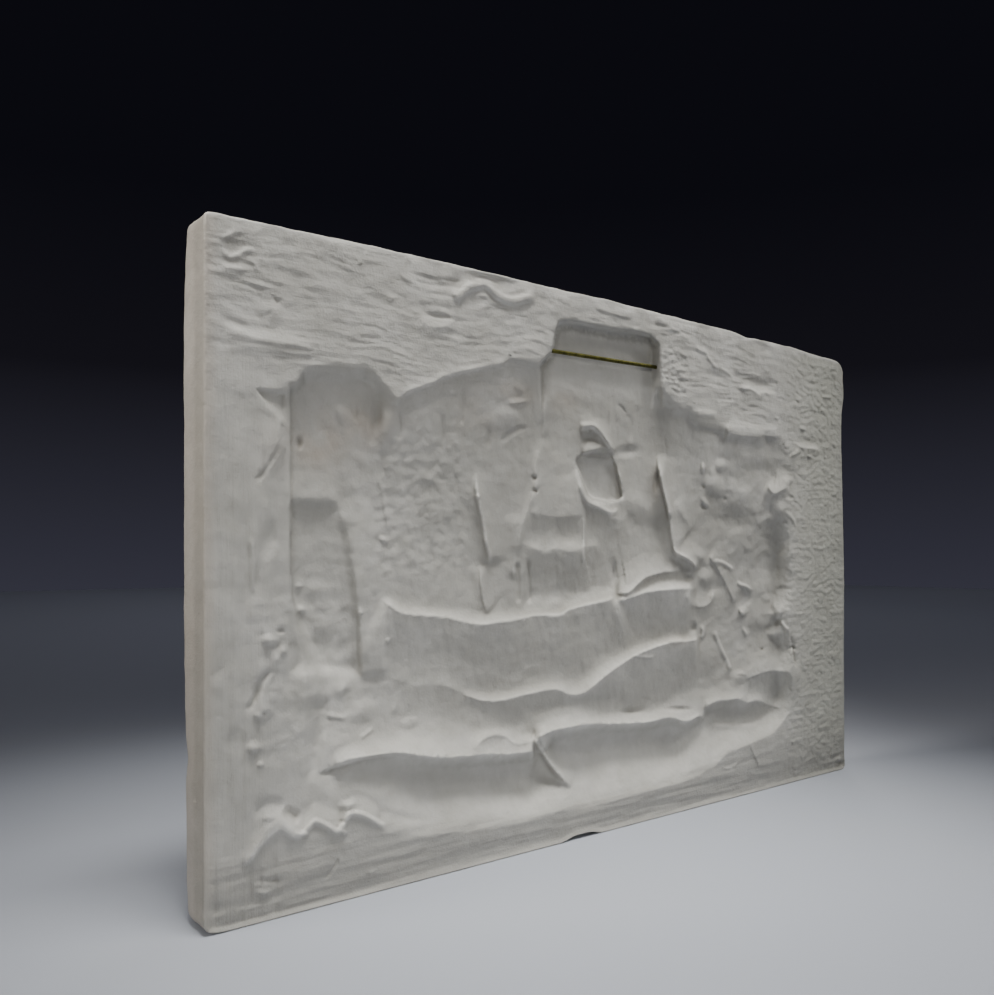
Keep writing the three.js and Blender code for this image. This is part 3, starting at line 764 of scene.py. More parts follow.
ridge([(79, 17), (85, 22), (91, 30)], -1.0, 2.2, 2.2, taper=4)
ridge([(90, 31), (92.5, 25)], 0.7, 2, 2, taper=3)
for lump in (
    (6, 15, 11, 7, -1.0), (115, 14.5, 4, 2, 0.9), (233, 33, 4, 2, -0.8),
):
    mound(*lump)
ridge([(490, 31.5), (498, 29.5), (505, 29)], 0.9, 2, 2, taper=4)
ridge([(506, 29), (512, 31.5), (520, 34)], 0.6, 2, 2, taper=4)
lip([(533, 46, 4, 0.8), (538, 39, 5, 1.5), (544, 30, 5, 1.5), (549, 22, 4, 0.9)], fall=3, cut=0.8,
    taper=5)
for lump in (
    (605, 40, 3.2, 2.6, 1.6), (689, 12.5, 6, 3.2, 2.4), (690, 7.5, 7, 2.5, -1.6),
    (653, 62, 6, 4, 1.0),
):
    mound(*lump)

# The marks of the tools, by zones, and how high they stand
BRUSHED = 0.56
DABBED = 1.1
DABBED_BY_POCKET = 0.6  # more, beside the pocket
RIM_UNEVEN = 0.5
HOLLOW_UNEVEN = 0.32
DRAGGED = 0.20
FINELY_UNEVEN = 0.34
WORKED = 0.55
CLOTTED = 0.75
LUMPY = 0.62
FOOT_FALLS_BACK = 2.4
rise *= 1.0 + 0.3 * smooth((V - 30.0) / 30.0) * smooth((hollow_top(U) - V + 4.0) / 8.0)
pocket = pocket_depth()
depth = np.maximum(hollow_depth(), pocket)
in_hollow = np.maximum(smooth((depth - 2.0) / 5.0), smooth(pocket / 3.0))
on_rim = 1.0 - in_hollow
near_zone = on_rim * smooth((58.0 - U) / 14.0) * smooth((345.0 - V) / 60.0)
top_zone = smooth((V - 330.0 - 0.25 * (50.0 - U).clip(0.0)) / 30.0)
top_zone = on_rim * top_zone * smooth((610.0 - U) / 60.0)
foot_zone = on_rim * smooth((56.0 - V) / 22.0) * smooth((610.0 - U) / 60.0)
far_zone = smooth((U - 560.0) / 60.0) * (1.0 - 0.7 * in_hollow)
beside_pocket = between(U, 405.0, 8.0, 448.0, 10.0) * between(V, 368.0, 8.0, 415.0, 8.0)
dabbed = np.maximum(far_zone, on_rim * beside_pocket)

lift = 4.0 * noise(U / 120.0, V / 60.0, 31) - 0.12 * (U - 215.0) * between(U, 120.0, 60.0, 300.0, 40.0)
bend = 3.0 * noise(U / 45.0, V / 30.0, 30)
# Brush strokes along the rim, coarse and fine, with dabs between them; lift and bend lead them
strokes = 0.9 - 2.6 * np.abs(noise(U / 38.0, (V + lift + bend) / 9.0, 32))
fine = 0.8 - 2.4 * np.abs(noise(U / 38.0 + 7.0, (V + lift + bend) / 4.3, 33))
patchy = smooth(0.55 + 1.1 * noise(U / 50.0, V / 26.0, 29))
dabs = 0.6 * rough(U / 22.0, (V + lift + bend) / 4.6, 58, 3)
strokes = 0.55 * strokes * smooth(0.4 + noise(U / 70.0, V / 22.0, 57)) + 0.7 * fine * patchy + dabs
# Comb lines down the near rim, scrapes along the foot, and nodules where a brush was dabbed
combed = 0.42 * noise(U / 3.2, V / 60.0, 34) + 0.85 * noise(U / 6.5 + 1.5, V / 110.0, 35)
combed = combed + 0.8 * noise(U / 17.0, V / 90.0, 36)
scraped = 0.34 * noise(U / 55.0, V / 2.6, 37) + 0.5 * noise(U / 80.0, V / 7.0, 38)
nodules = np.abs(noise(U / 14.0, V / 7.5, 39)) + 0.7 * np.abs(noise(U / 6.0, V / 4.4, 40))
rise += BRUSHED * strokes * top_zone
rise += combed * near_zone
rise += scraped * foot_zone
rise += (DABBED + DABBED_BY_POCKET * smooth((450.0 - U) / 10.0)) * (nodules - 0.4) * dabbed
# Uneven ground: the rim's, and the hollow's in broad, dragged and fine waves
rise += RIM_UNEVEN * rough(U / 26.0, V / 18.0, 41, 3) * on_rim
rise += HOLLOW_UNEVEN * rough(U / 20.0, V / 24.0, 44, 3) * in_hollow
rise += DRAGGED * rough(U / 4.5 + 0.04 * V, V / 34.0, 61, 2) * in_hollow * smooth((470.0 - U) / 40.0)
rise += FINELY_UNEVEN * rough(U / 9.0, V / 8.0, 63, 3) * in_hollow
# Rougher ground: worked wet in the upper hollow, clotted by the near wall, lumpy at the far one
worked = in_hollow * between(U, 112.0, 12.0, 205.0, 20.0) * between(V, 205.0, 20.0, 330.0, 40.0)
rise += WORKED * rough(U / 8.5, V / 6.5, 47, 3) * worked
clotted = between(U, 22.0, 14.0, 112.0, 20.0) * between(V, 88.0, 16.0, 222.0, 30.0)
rise += CLOTTED * rough(U / 13.0, V / 11.0, 66, 3) * clotted
lumpy = in_hollow * smooth((U - 455.0) / 25.0) * smooth((V - 105.0) / 20.0)
rise += LUMPY * rough(U / 22.0, V / 15.0, 50, 4) * lumpy
rise -= FOOT_FALLS_BACK * smooth((34.0 - V) / 40.0)
depth = np.clip(depth - rise, -PROUDEST, DEEPEST)

# The worn arris all round
end_gap = np.minimum(across_steps, WIDTH - across_steps)[:, None]
edge_gap = np.minimum(end_gap, np.minimum(up_steps, HEIGHT - up_steps)[None, :])
crisp_foot = 1.0 - 0.7 * smooth((9.0 - up_steps) / 4.0)
wear = ARRIS * (1.0 + 0.35 * rough(U / 14.0, V / 14.0, 53, 2)) * crisp_foot
over = np.clip(1.0 - edge_gap / np.maximum(wear, 0.4), 0.0, 1.0)
arris_drop = wear * (1.0 - np.sqrt(1.0 - over**2))
depth = depth * smooth(edge_gap / 5.0)
# A painted highlight along the top arris, in patches
top_gap = HEIGHT - up_steps[None, :] + 0.0 * U
top_arris_highlight = (1.0 - smooth((top_gap - 1.6) / 1.8)) * smooth(0.75 + noise(U / 30.0, 0.0 * U, 68))
painted_highlight = np.maximum(painted_highlight, top_arris_highlight)

across_true = U + (U - VIEW_ACROSS) * depth / VIEW_AWAY
up_true = V + (V - VIEW_UP) * depth / VIEW_AWAY


def to_row(across, up, deep):
    """Places on the panel as points of the scene."""
    return np.stack([EDGE_X - across, RIM_Y - deep, FOOT_Z + up], -1) * MM


back = to_row(across_true, up_true, depth + arris_drop)

# How far the surface stands out from its surroundings, for worn crests and painted shade in crevices
SURROUNDINGS = 10  # rounds of evening out
around = depth + arris_drop
for _ in range(SURROUNDINGS):
    padded = np.pad(around, 1, mode="edge")
    around = 0.5 * padded[1:-1, 1:-1] + 0.125 * (
        padded[2:, 1:-1] + padded[:-2, 1:-1] + padded[1:-1, 2:] + padded[1:-1, :-2]
    )
standing_out = around - depth - arris_drop
nu, nv = U.shape

# The sides: rings of points round the slab, from the back's edge to the front's
ring = [(i, 0) for i in range(nu)] + [(nu - 1, j) for j in range(1, nv)]
ring += [(i, nv - 1) for i in range(nu - 2, -1, -1)] + [(0, j) for j in range(nv - 2, 0, -1)]
ri, rj = np.array(ring).T
ring_across, ring_up = U[ri, rj], V[ri, rj]
ring_places = np.stack([ring_across, ring_up], 1)
ahead = np.roll(ring_places, -1, 0) - np.roll(ring_places, 1, 0)
ahead /= np.maximum(np.linalg.norm(ahead, axis=1, keepdims=True), 1e-9)
inward = np.stack([-ahead[:, 1], ahead[:, 0]], 1)
near_thickness = through(
    (0, 24), (25, 29), (60, 31), (88, 31), (102, 27), (116, 31), (150, 34), (200, 35.2), (380, 35.5),
    (418, 31), (436, 27),
)
is_near = smooth((30.0 - ring_across) / 30.0)
straight = (THICKNESS - 4.0) * (1 - is_near) + (near_thickness(ring_up) - 1.5) * is_near
straight = straight + 0.6 * noise(ring_across / 30.0, ring_up / 30.0, 61)
start = ARRIS * 1.1
STRAIGHT_RINGS, ROUNDED_RINGS = 8, 4
WIDEST_ROUNDING = 9.0
layers = []
for k in range(1, STRAIGHT_RINGS + ROUNDED_RINGS + 1):
    if k <= STRAIGHT_RINGS:
        deep = start + (straight - start) * k / STRAIGHT_RINGS
        inset = 0.0 * straight
    else:
        swing = (k - STRAIGHT_RINGS) / ROUNDED_RINGS * math.pi / 2.0
        rest = THICKNESS - straight
        deep = straight + rest * math.sin(swing)
        inset = np.minimum(rest, WIDEST_ROUNDING) * (1.0 - math.cos(swing))
    run_along = np.where(np.abs(inward[:, 0]) > 0.7, ring_up, ring_across)
    uneven = 0.35 * rough(run_along / 24.0, deep / 14.0, 63, 3) * smooth(np.array(k / 3.0))
    inset = inset + 0.35 + uneven
    layers.append(to_row(ring_across + inward[:, 0] * inset, ring_up + inward[:, 1] * inset, deep))

# The front: a plain border round sunk hanging drapery, three swags over upright folds
BORDER = 26.0
BORDER_BEVEL = 10.0
FIELD_SINK = 9.0
RAIL_HEIGHT = 392.0
RAIL_RADIUS = 11.0
RAIL_RISE = 7.0
FIELD_FROM, FIELD_TO = 40.0, 660.0
FOLD_COUNT = 9
FOLD_RISE = 6.0
SWAG_HEAD = 3.6
SWAG_BULGE = 4.4
BELOW_SWAGS = 1.0
UPPER_SWAG_DROP = 46.0
SWAG_HEM = 9.0
swag_lines = [
    through((125, 192), (150, 186), (183, 181), (215, 176.5), (260, 181), (290, 180.5), (305, 185),
            (352, 192), (372, 200), (400, 212), (440, 214)),
    through((105, 147), (150, 138), (180, 132), (205, 122), (225, 119), (260, 122), (313, 117),
            (345, 130), (375, 141), (410, 151), (458, 153)),
    through((88, 88), (105, 92), (137, 91.5), (175, 82.5), (225, 79), (258, 77), (268, 87),
            (305, 89.5), (385, 85), (425, 83), (441, 80), (462, 79), (470, 91), (513, 92.5),
            (548, 86.5), (590, 78)),
]


def front_rise(across, up):
    inset = np.minimum(np.minimum(across, WIDTH - across), np.minimum(up, HEIGHT - up)) - BORDER
    pitch = (FIELD_TO - FIELD_FROM) / FOLD_COUNT
    swing = 9.0 * np.sin(math.pi * (RAIL_HEIGHT - up) / 190.0)
    upper, middle, lower = [line(across) for line in swag_lines]
    hung = np.abs(np.sin(math.pi * (across - FIELD_FROM + swing) / pitch))
    roll = np.sqrt(np.clip(1.0 - ((up - RAIL_HEIGHT) / RAIL_RADIUS) ** 2, 0.0, 1.0))
    height = np.where(up < RAIL_HEIGHT, FOLD_RISE * np.sqrt(hung), 0.0)
    height = np.maximum(height, RAIL_RISE * roll)
    height = np.where(up < upper, BELOW_SWAGS, height)
    for top, foot, below in (
        (upper + UPPER_SWAG_DROP, upper, SWAG_HEAD), (upper, middle, SWAG_HEAD),
        (middle, lower, BELOW_SWAGS),
    ):
        down = (top - up) / (top - foot)
        full = SWAG_HEAD + SWAG_BULGE * smooth(down * 1.15)
        bank = below + (full - below) * smooth((up - foot) / SWAG_HEM)
        height = np.maximum(height, np.where((down > 0.0) & (down <= 1.0), bank, 0.0))
    height = height + 0.35 * rough(across / 24.0, up / 18.0, 71, 3)
    carved = smooth(inset / BORDER_BEVEL) * (np.minimum(height, FIELD_SINK) - FIELD_SINK)
    return carved + 0.2 * rough(across / 30.0, up / 30.0, 75, 3) * smooth(inset / -8.0 + 3.0)


thirds_u, thirds_v = np.arange(0, nu, 3), np.arange(0, nv, 3)
FU, FV = U[np.ix_(thirds_u, thirds_v)], V[np.ix_(thirds_u, thirds_v)]
# The front's points move in beside its worn edges, to lie within the last ring of the sides
DRAWN_REACH = 30.0
drawn_in = np.zeros((nu, nv))
drawn_in[ri, rj] = inset
drawn_in = drawn_in[np.ix_(thirds_u, thirds_v)]


def edge_shares(place, last):
    """How much a place moves with the first edge and with the last one."""
    return (1.0 - place / DRAWN_REACH).clip(0.0), (1.0 - (last - place) / DRAWN_REACH).clip(0.0)


by_near, by_far = edge_shares(FU - FU[:1, :], FU[-1:, :] - FU[:1, :])
by_foot, by_top = edge_shares(FV - FV[:, :1], FV[:, -1:] - FV[:, :1])
FU = FU + drawn_in[:1, :] * by_near - drawn_in[-1:, :] * by_far
FV = FV + drawn_in[:, :1] * by_foot - drawn_in[:, -1:] * by_top
front = to_row(FU, FV, np.minimum(THICKNESS + front_rise(FU, FV), THICKNESS + 0.3))

points = [back.reshape(-1, 3)]
count = nu * nv
ring_ids = [ri * nv + rj]
for layer in layers:
    points.append(layer)
    ring_ids.append(count + np.arange(len(layer)))
    count += len(layer)
front_ids = np.zeros(FU.shape, int)
inner_front = front[1:-1, 1:-1]
front_ids[1:-1, 1:-1] = count + np.arange(inner_front[..., 0].size).reshape(inner_front.shape[:2])
points.append(inner_front.reshape(-1, 3))
last_ring = ring_ids[-1]
for k, (i, j) in enumerate(ring):
    if i % 3 == 0 and j % 3 == 0:
        front_ids[i // 3, j // 3] = last_ring[k]

ids = np.arange(nu * nv).reshape(nu, nv)


def quads(a, b, c, d):
    return np.stack([x.reshape(-1) for x in (a, b, c, d)], 1)


faces = [quads(ids[:-1, :-1], ids[:-1, 1:], ids[1:, 1:], ids[1:, :-1])[:, ::-1]]
for a, b in zip(ring_ids[:-1], ring_ids[1:]):
    faces.append(quads(a, np.roll(a, -1), np.roll(b, -1), b)[:, ::-1])
front_faces = quads(
    front_ids[:-1, :-1], front_ids[1:, :-1], front_ids[1:, 1:], front_ids[:-1, 1:]
)[:, ::-1]
polygons = [tuple(f) for part in faces for f in part.tolist()]
# The front's outer faces also take up the two ring points between each pair of theirs
on_ring = {vertex: k for k, vertex in enumerate(last_ring.tolist())}
ring_size = len(last_ring)
for f in front_faces.tolist():
    whole = []
    for a, b in zip(f, f[1:] + f[:1]):
        whole.append(a)
        ka, kb = on_ring.get(a), on_ring.get(b)
        if ka is not None and kb is not None:
            gap = (kb - ka) % ring_size
            if gap in (3, ring_size - 3):
                way = 1 if gap == 3 else -1
                whole += [int(last_ring[(ka + way * n) % ring_size]) for n in (1, 2)]
    polygons.append(tuple(whole))

mesh = bpy.data.meshes.new("plaster_back_and_front")
mesh.from_pydata(np.concatenate(points).tolist(), [], polygons)
mesh.update()
panel = bpy.data.objects.new("cast_panel", mesh)
bpy.context.scene.collection.objects.link(panel)
triangles = sum(len(p) - 2 for p in polygons)
if triangles > MOST_TRIANGLES:
    thin = panel.modifiers.new("thin", "DECIMATE")
    thin.ratio = MOST_TRIANGLES / triangles
    evaluated = panel.evaluated_get(bpy.context.evaluated_depsgraph_get())
    thinned = bpy.data.meshes.new_from_object(evaluated)
    panel.modifiers.clear()
    panel.data = thinned
    thinned.name = "plaster_panel_surface"
panel.data.polygons.foreach_set("use_smooth", [True] * len(panel.data.polygons))


# Colours and finishes. Colours are given as seen in daylight, in sRGB.
def srgb(text):
    parts = [int(text[k : k + 2], 16) / 255.0 for k in (1, 3, 5)]
    return [p / 12.92 if p <= 0.04045 else ((p + 0.055) / 1.055) ** 2.4 for p in parts] + [1.0]


def finish_for(name):
    material = bpy.data.materials.new(name)
    material.use_nodes = True
    tree = material.node_tree
    return material, tree, tree.nodes["Principled BSDF"]


def add(tree, kind, inputs=None, **settings):
    """Adds a node. An input's value is a number, a colour, or another node's socket."""
    node = tree.nodes.new(kind)
    for key, value in settings.items():
        setattr(node, key, value)
    for key, value in (inputs or {}).items():
        if isinstance(value, bpy.types.NodeSocket):
            tree.links.new(value, node.inputs[key])
        else:
            node.inputs[key].default_value = value
    return node


def per(mm):
    """A texture scale that gives one feature to so many millimetres."""
    return 1.0 / (mm * MM)


def mark(obj, name, values):
    """Keeps a value from 0 to 1 at each point of the mesh, for its finish to read."""
    layer = obj.data.attributes.new(name, "FLOAT", "POINT")
    layer.data.foreach_set("value", np.clip(values, 0.0, 1.0).astype(np.float32))


# Zones of the finish, worked out again for the thinned surface
co = np.zeros(len(panel.data.vertices) * 3)
panel.data.vertices.foreach_get("co", co)
co = co.reshape(-1, 3) / MM
deep = RIM_Y - co[:, 1]
true_u, true_v = EDGE_X - co[:, 0], co[:, 2] - FOOT_Z
is_back = smooth((20.0 - deep) / 6.0)
# The same places as seen: the way back from across_true and up_true
further = np.clip(deep, 0.0, 30.0) / VIEW_AWAY
seen_u = (true_u + VIEW_ACROSS * further) / (1.0 + further)
seen_v = (true_v + VIEW_UP * further) / (1.0 + further)
column = np.clip(np.searchsorted(across_steps, seen_u), 1, nu - 1)
row = np.clip(np.searchsorted(up_steps, seen_v), 1, nv - 1)
share_u = np.clip((seen_u - across_steps[column - 1]) / np.diff(across_steps)[column - 1], 0.0, 1.0)
share_v = np.clip((seen_v - up_steps[row - 1]) / np.diff(up_steps)[row - 1], 0.0, 1.0)


def sampled(grid):
    """The grid's values at the thinned surface's points."""
    return (1.0 - share_u) * (
        (1.0 - share_v) * grid[column - 1, row - 1] + share_v * grid[column - 1, row]
    ) + share_u * ((1.0 - share_v) * grid[column, row - 1] + share_v * grid[column, row])


out_here = sampled(standing_out)

stain = np.zeros_like(seen_u)
for strength, across, up, wide, tall in (
    (0.8, 75, 300, 26, 18), (0.7, 110, 318, 26, 16), (0.9, 242, 351, 16, 8), (0.6, 290, 358, 22, 16),
    (0.5, 398, 290, 7, 12), (0.35, 205, 335, 30, 20), (0.35, 30, 30, 30, 20), (0.6, 430, 152, 20, 4),
):
    stain += strength * np.exp(-(((seen_u - across) / wide) ** 2) - ((seen_v - up) / tall) ** 2)
mark(panel, "stain", stain * is_back)
mark(panel, "edge_tint", smooth((10.0 - true_u) / 9.0))
# Painted shade: the far side of the back darker, in a greenish grey
mark(panel, "far_painted_shade", smooth((seen_u - 560.0) / 110.0) * is_back)
# Painted shade in the sunk parts, stronger towards the far side and weaker near the near end and low
# down
painted_shade_share = (0.3 + 0.7 * smooth((seen_u - 130.0) / 110.0)) * (1.0 - 0.6 * smooth((104.0 - seen_v) / 14.0))
mark(panel, "sunk", smooth((deep - 3.0) / 12.0) * is_back * painted_shade_share)
on_top = smooth((seen_v - 320.0) / 50.0)
shallow = is_back * smooth((5.0 - deep) / 4.0)
mark(panel, "combed", smooth((58.0 - seen_u) / 16.0) * shallow * (1.0 - on_top))
mark(panel, "stroked", shallow * np.maximum(on_top, smooth((seen_u - 48.0) / 20.0)))
# Crests painted lighter: worn clean where they stand out from their surroundings, and painted highlights
# along the listed lines and the top arris
rim_kept = 1.0 - 0.7 * smooth((12.0 - seen_u) / 6.0)
near_arris = between(seen_u, 44.0, 8.0, 64.0, 8.0) * smooth((345.0 - seen_v) / 20.0)
crest = 0.42 * smooth((out_here - 0.12) / 0.9) * rim_kept * (1.0 - 0.8 * near_arris)
mark(panel, "crest", np.maximum(crest, sampled(painted_highlight)) * is_back)
# Painted light in the shaded pocket, stronger in the band under its top edge
pocket_light_share = between(seen_u, 270.0, 12.0, 416.0, 12.0) * smooth((seen_v - 345.0) / 30.0)
pocket_light_share = pocket_light_share * smooth((deep - 1.5) / 2.5) * (0.75 + 0.25 * smooth((seen_v - 401.0) / 6.0))
mark(panel, "painted_pocket_light", pocket_light_share * is_back)
# Painted shade on the rim towards the foot, and more faintly low on the near side
low_shade_share = smooth((75.0 - seen_v) / 70.0)
low_shade_share = np.maximum(low_shade_share, 0.35 * smooth((70.0 - seen_u) / 40.0) * smooth((240.0 - seen_v) / 160.0))
mark(panel, "painted_low_shade", low_shade_share * smooth((6.0 - deep) / 5.0) * is_back)
# Painted shade in crevices, where the surface lies below its surroundings
mark(panel, "painted_crevice_shade", smooth((-out_here - 0.12) / 0.8) * is_back)

# Cast gypsum plaster, brushed and trowelled by hand, with faint brown stains, painted shade in its
# hollows, crevices, far side and low rim, painted light in the pocket, and crests lighter from wear and
# painted highlights
plaster, tree, shader = finish_for("cast plaster")
where = add(tree, "ShaderNodeTexCoord").outputs["Object"]


def attribute(tree, name):
    return add(tree, "ShaderNodeAttribute", attribute_name=name).outputs["Fac"]


def texture(tree, where, mm, detail=3.0, roughness=0.55, stretch=None):
    vector = where
    if stretch:
        vector = add(tree, "ShaderNodeMapping", {"Vector": where, "Scale": stretch}).outputs["Vector"]
    return add(
        tree, "ShaderNodeTexNoise",
        {"Vector": vector, "Scale": per(mm), "Detail": detail, "Roughness": roughness},
    ).outputs["Fac"]


def ranged(tree, value, low_in, high_in, low_out=0.0, high_out=1.0):
    return add(
        tree, "ShaderNodeMapRange",
        {"Value": value, "From Min": low_in, "From Max": high_in, "To Min": low_out, "To Max": high_out},
    ).outputs["Result"]


def times(tree, a, b):
    return add(tree, "ShaderNodeMath", {0: a, 1: b}, operation="MULTIPLY").outputs[0]


def plus(tree, a, b):
    return add(tree, "ShaderNodeMath", {0: a, 1: b}, operation="ADD").outputs[0]


def blended(tree, share, a, b):
    node = add(tree, "ShaderNodeMix", data_type="RGBA")
    for key, value in (("Factor_Float", share), ("A_Color", a), ("B_Color", b)):
        socket = next(s for s in node.inputs if s.identifier == key)
        if isinstance(value, bpy.types.NodeSocket):
            tree.links.new(value, socket)
        else:
            socket.default_value = value
    return next(s for s in node.outputs if s.identifier == "Result_Color")


colour = blended(
    tree, ranged(tree, texture(tree, where, 60.0, 4.0), 0.35, 0.68), srgb("#b6b4ae"), srgb("#c3c1bc")
)
# Painted shade in the sunk parts
colour = blended(tree, times(tree, attribute(tree, "sunk"), 0.74), colour, srgb("#989690"))
colour = blended(
    tree, times(tree, ranged(tree, texture(tree, where, 9.0, 5.0), 0.52, 0.78), 0.35), colour,
    srgb("#a7a49c"),
)
# Painted shade on the far side
colour = blended(tree, times(tree, attribute(tree, "far_painted_shade"), 0.6), colour, srgb("#aaab9f"))
blotch = ranged(tree, texture(tree, where, 22.0, 4.0), 0.3, 0.65)
colour = blended(
    tree, times(tree, times(tree, attribute(tree, "stain"), blotch), 0.5), colour, srgb("#a48f7b")
)
# Painted low shade, painted light in the pocket, painted crevice shade, and crests lighter from wear and
# painted highlights
for zone, share, tone in (
    ("edge_tint", 0.3, "#b8a692"), ("painted_low_shade", 0.75, "#989690"), ("painted_pocket_light", 0.9, "#cfcdc7"),
    ("painted_crevice_shade", 0.45, "#8b8880"), ("crest", 0.85, "#dad8d2"),
):
    colour = blended(tree, times(tree, attribute(tree, zone), share), colour, srgb(tone))
mottle = ranged(tree, texture(tree, where, 24.0, 5.0, 0.6), 0.4, 0.72)
colour = blended(tree, times(tree, mottle, 0.35), colour, srgb("#9a978f"))
tree.links.new(colour, shader.inputs["Base Color"])
shader.inputs["Specular IOR Level"].default_value = 0.45
matt = ranged(tree, texture(tree, where, 14.0, 4.0), 0.3, 0.7, 0.74, 0.92)
rubbed_sheen = times(tree, attribute(tree, "crest"), -0.38)
tree.links.new(plus(tree, matt, rubbed_sheen), shader.inputs["Roughness"])

grain = texture(tree, where, 1.6, 4.0, 0.6)
lumps = texture(tree, where, 7.0, 3.0, 0.5)
combs = texture(tree, where, 2.0, 3.0, 0.6, stretch=(1.0, 1.0, 0.06))
wipes = texture(tree, where, 2.0, 3.0, 0.6, stretch=(0.10, 1.0, 1.0))
marks = plus(
    tree,
    times(tree, times(tree, combs, attribute(tree, "combed")), 0.7),
    times(tree, times(tree, wipes, attribute(tree, "stroked")), 0.30),
)
height = plus(tree, marks, plus(tree, times(tree, grain, 0.30), times(tree, lumps, 0.7)))
bump = add(tree, "ShaderNodeBump", {"Height": height, "Strength": 0.8, "Distance": 1.0 * MM})
tree.links.new(bump.outputs["Normal"], shader.inputs["Normal"])
panel.data.materials.clear()
panel.data.materials.append(plaster)
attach(panel, "root")
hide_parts("plaster_panel")

# Drawn brass rod, dulled to olive brown, a little brighter where it was handled
brass, tree, shader = finish_for("aged brass")
where = add(tree, "ShaderNodeTexCoord").outputs["Object"]
colour = blended(
    tree, ranged(tree, texture(tree, where, 5.0, 4.0), 0.35, 0.7), srgb("#47461c"), srgb("#76733a")
)
colour = blended(
    tree, ranged(tree, texture(tree, where, 1.3, 3.0), 0.6, 0.8), colour, srgb("#3b3518")
)
tree.links.new(colour, shader.inputs["Base Color"])
shader.inputs["Metallic"].default_value = 0.85
tree.links.new(
    ranged(tree, texture(tree, where, 3.0, 3.0), 0.3, 0.7, 0.34, 0.55), shader.inputs["Roughness"]
)
drawn = texture(tree, where, 0.5, 2.0, 0.5, stretch=(0.05, 1.0, 1.0))
bump = add(tree, "ShaderNodeBump", {"Height": drawn, "Strength": 0.4, "Distance": 0.05 * MM})
tree.links.new(bump.outputs["Normal"], shader.inputs["Normal"])

rod_low, rod_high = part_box("hanging_rod")
rod_length = (rod_high.x - rod_low.x) / MM
ROD_SIDES = 32
ROD_RINGS = 60
ROD_SAG = 0.10
ROD_COATED = 1.08  # its width with the dirt on it, as a share of the rod's
rod_points = []
for k in range(ROD_RINGS + 1):
    at = rod_length * (k / ROD_RINGS - 0.5)
    sag = -ROD_SAG * (1.0 - (2.0 * at / rod_length) ** 2)
    for s in range(ROD_SIDES):
        turn = 2.0 * math.pi * s / ROD_SIDES
        radius = ROD_DIAMETER / 2.0 * (ROD_COATED + 0.004 * math.sin(at * 0.4 + s))
        rod_points.append((
            at * MM, radius * math.cos(turn) * MM,
            (radius * math.sin(turn) + sag - at * math.tan(ROD_TILT)) * MM,
        ))
rod_faces = [
    (k * ROD_SIDES + s, k * ROD_SIDES + (s + 1) % ROD_SIDES,
     (k + 1) * ROD_SIDES + (s + 1) % ROD_SIDES, (k + 1) * ROD_SIDES + s)
    for k in range(ROD_RINGS) for s in range(ROD_SIDES)
]
rod_faces.append(tuple(range(ROD_SIDES))[::-1])
rod_faces.append(tuple(ROD_RINGS * ROD_SIDES + s for s in range(ROD_SIDES)))
rod_mesh = bpy.data.meshes.new("brass_rod")
rod_mesh.from_pydata(rod_points, [], [f[::-1] for f in rod_faces])
rod_mesh.polygons.foreach_set("use_smooth", [len(p.vertices) == 4 for p in rod_mesh.polygons])
rod_mesh.materials.append(brass)
rod = bpy.data.objects.new("brass_rod", rod_mesh)
bpy.context.scene.collection.objects.link(rod)
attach(rod, "root")
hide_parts("hanging_rod")

# A pale floor, soft light from above and the camera at the panel's near end
floor_mesh = bpy.data.meshes.new("floor")
FLOOR_REACH = 6.0
floor_z = FOOT_Z * MM - 0.0002
floor_mesh.from_pydata(
    [(FLOOR_REACH * x, FLOOR_REACH * y, floor_z) for x, y in ((-1, -1), (1, -1), (1, 1), (-1, 1))],
    [], [(0, 1, 2, 3)],
)
floor = bpy.data.objects.new("floor", floor_mesh)
bpy.context.scene.collection.objects.link(floor)
paper, tree, shader = finish_for("pale paper floor")
shader.inputs["Base Color"].default_value = srgb("#adb1ba")
shader.inputs["Roughness"].default_value = 0.8
shader.inputs["Specular IOR Level"].default_value = 0.1
floor_mesh.materials.append(paper)

# The air of the studio: nearly black above, and a little lighter low down
world = bpy.data.worlds.new("studio")
bpy.context.scene.world = world
world.use_nodes = True
tree = world.node_tree
upward = add(
    tree, "ShaderNodeSeparateXYZ",
    {"Vector": add(tree, "ShaderNodeTexCoord").outputs["Generated"]},
).outputs["Z"]
sky = blended(tree, ranged(tree, upward, -0.04, 0.19), srgb("#373742"), srgb("#18171d"))
sky = blended(tree, ranged(tree, upward, 0.17, 0.36), sky, srgb("#0f0f15"))
tree.links.new(sky, tree.nodes["Background"].inputs["Color"])
tree.nodes["Background"].inputs["Strength"].default_value = 1.0


def soft_light(name, place, aim, size, watts, colour, spread):
    """A soft box: places and sizes in metres, its spread in degrees."""
    lamp = bpy.data.lights.new(name, "AREA")
    lamp.shape = "RECTANGLE"
    lamp.size, lamp.size_y = size
    lamp.energy = watts
    lamp.spread = math.radians(spread)
    lamp.color = srgb(colour)[:3]
    holder = bpy.data.objects.new(name, lamp)
    holder.location = place
    holder.rotation_euler = (Vector(aim) - Vector(place)).to_track_quat("-Z", "Y").to_euler()
    holder.visible_camera = False
    bpy.context.scene.collection.objects.link(holder)


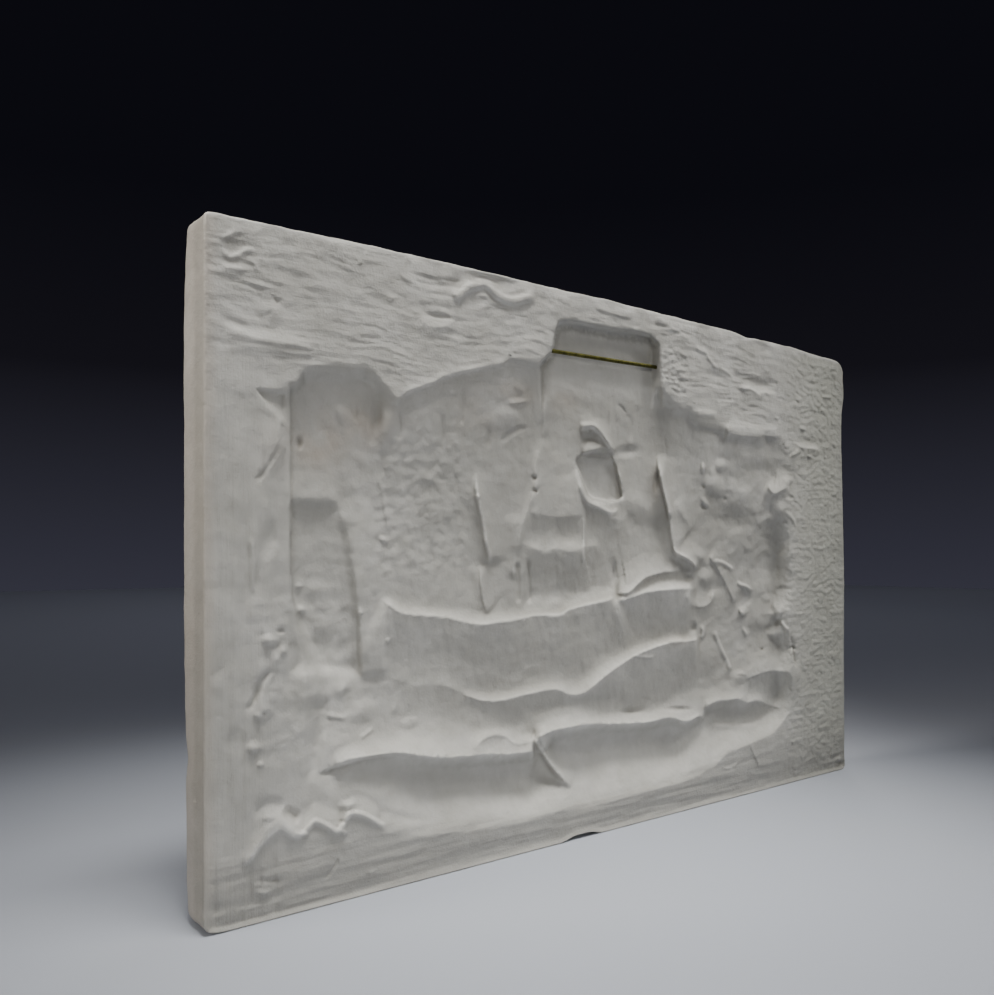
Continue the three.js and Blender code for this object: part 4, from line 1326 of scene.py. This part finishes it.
for lamp_row in (
    ("overhead", (0.25, 0.30, 1.0), (0.2, 0.06, -0.3), (0.5, 0.2), 1.5, "#fffefa", 50.0),
    ("overhead_front", (0.35, 0.45, 1.0), (0.30, 0.25, -0.3), (0.5, 0.25), 0.5, "#fffefa", 60.0),
    ("overhead_far", (-0.20, 0.26, 0.75), (-0.22, 0.03, -0.25), (0.4, 0.2), 0.30, "#fffefa", 50.0),
    ("far_side", (-0.6, 0.5, 0.6), (-0.15, 0.0, -0.2), (0.4, 0.4), 0.42, "#fffefa", 40.0),
    ("fill", (0.65, 1.0, 0.15), (0.2, 0.0, -0.15), (0.6, 0.5), 0.53, "#fffdf8", 60.0),
    ("near_end", (1.3, -0.25, 0.55), (0.36, -0.01, 0.06), (0.5, 0.5), 0.98, "#fffaf2", 45.0),
    ("front_side", (-1.15, -0.8, -0.12), (0.02, 0.0, -0.13), (0.4, 0.3), 0.75, "#fffdf8", 40.0),
    ("floor_wash", (0.0, 1.0, 0.9), (-0.05, 0.75, -0.39), (0.4, 0.4), 1.0, "#f6f8ff", 50.0),
    ("back_wash", (-1.2, -1.8, 2.2), (-1.2, -1.8, -0.39), (4.0, 4.0), 15.0, "#f2f2ff", 180.0),
    ("far_wash_left", (-1.3, -5.7, 2.2), (-1.3, -5.7, -0.39), (3.0, 3.0), 6.8, "#f2f2ff", 180.0),
    ("far_wash_right", (-5.7, -2.4, 2.2), (-5.7, -2.4, -0.39), (3.0, 3.0), 7.2, "#f2f2ff", 180.0),
):
    soft_light(*lamp_row)

SENSOR = 36.0
camera_data = bpy.data.cameras.new("camera")
camera_data.sensor_width = SENSOR
camera_data.lens = VIEW_FOCUS / PICTURE_HEIGHT * SENSOR
camera_data.shift_y = HORIZON_BELOW_MIDDLE / PICTURE_HEIGHT
camera_data.clip_start = 0.02
camera_data.clip_end = 50.0
camera = bpy.data.objects.new("camera", camera_data)
camera.location = (
    (EDGE_X - VIEW_ACROSS) * MM, (RIM_Y + VIEW_AWAY) * MM, (FOOT_Z + VIEW_UP) * MM
)
forward = Vector((-math.cos(VIEW_TURN), -math.sin(VIEW_TURN), 0.0))
camera.rotation_euler = forward.to_track_quat("-Z", "Y").to_euler()
bpy.context.scene.collection.objects.link(camera)
bpy.context.scene.camera = camera
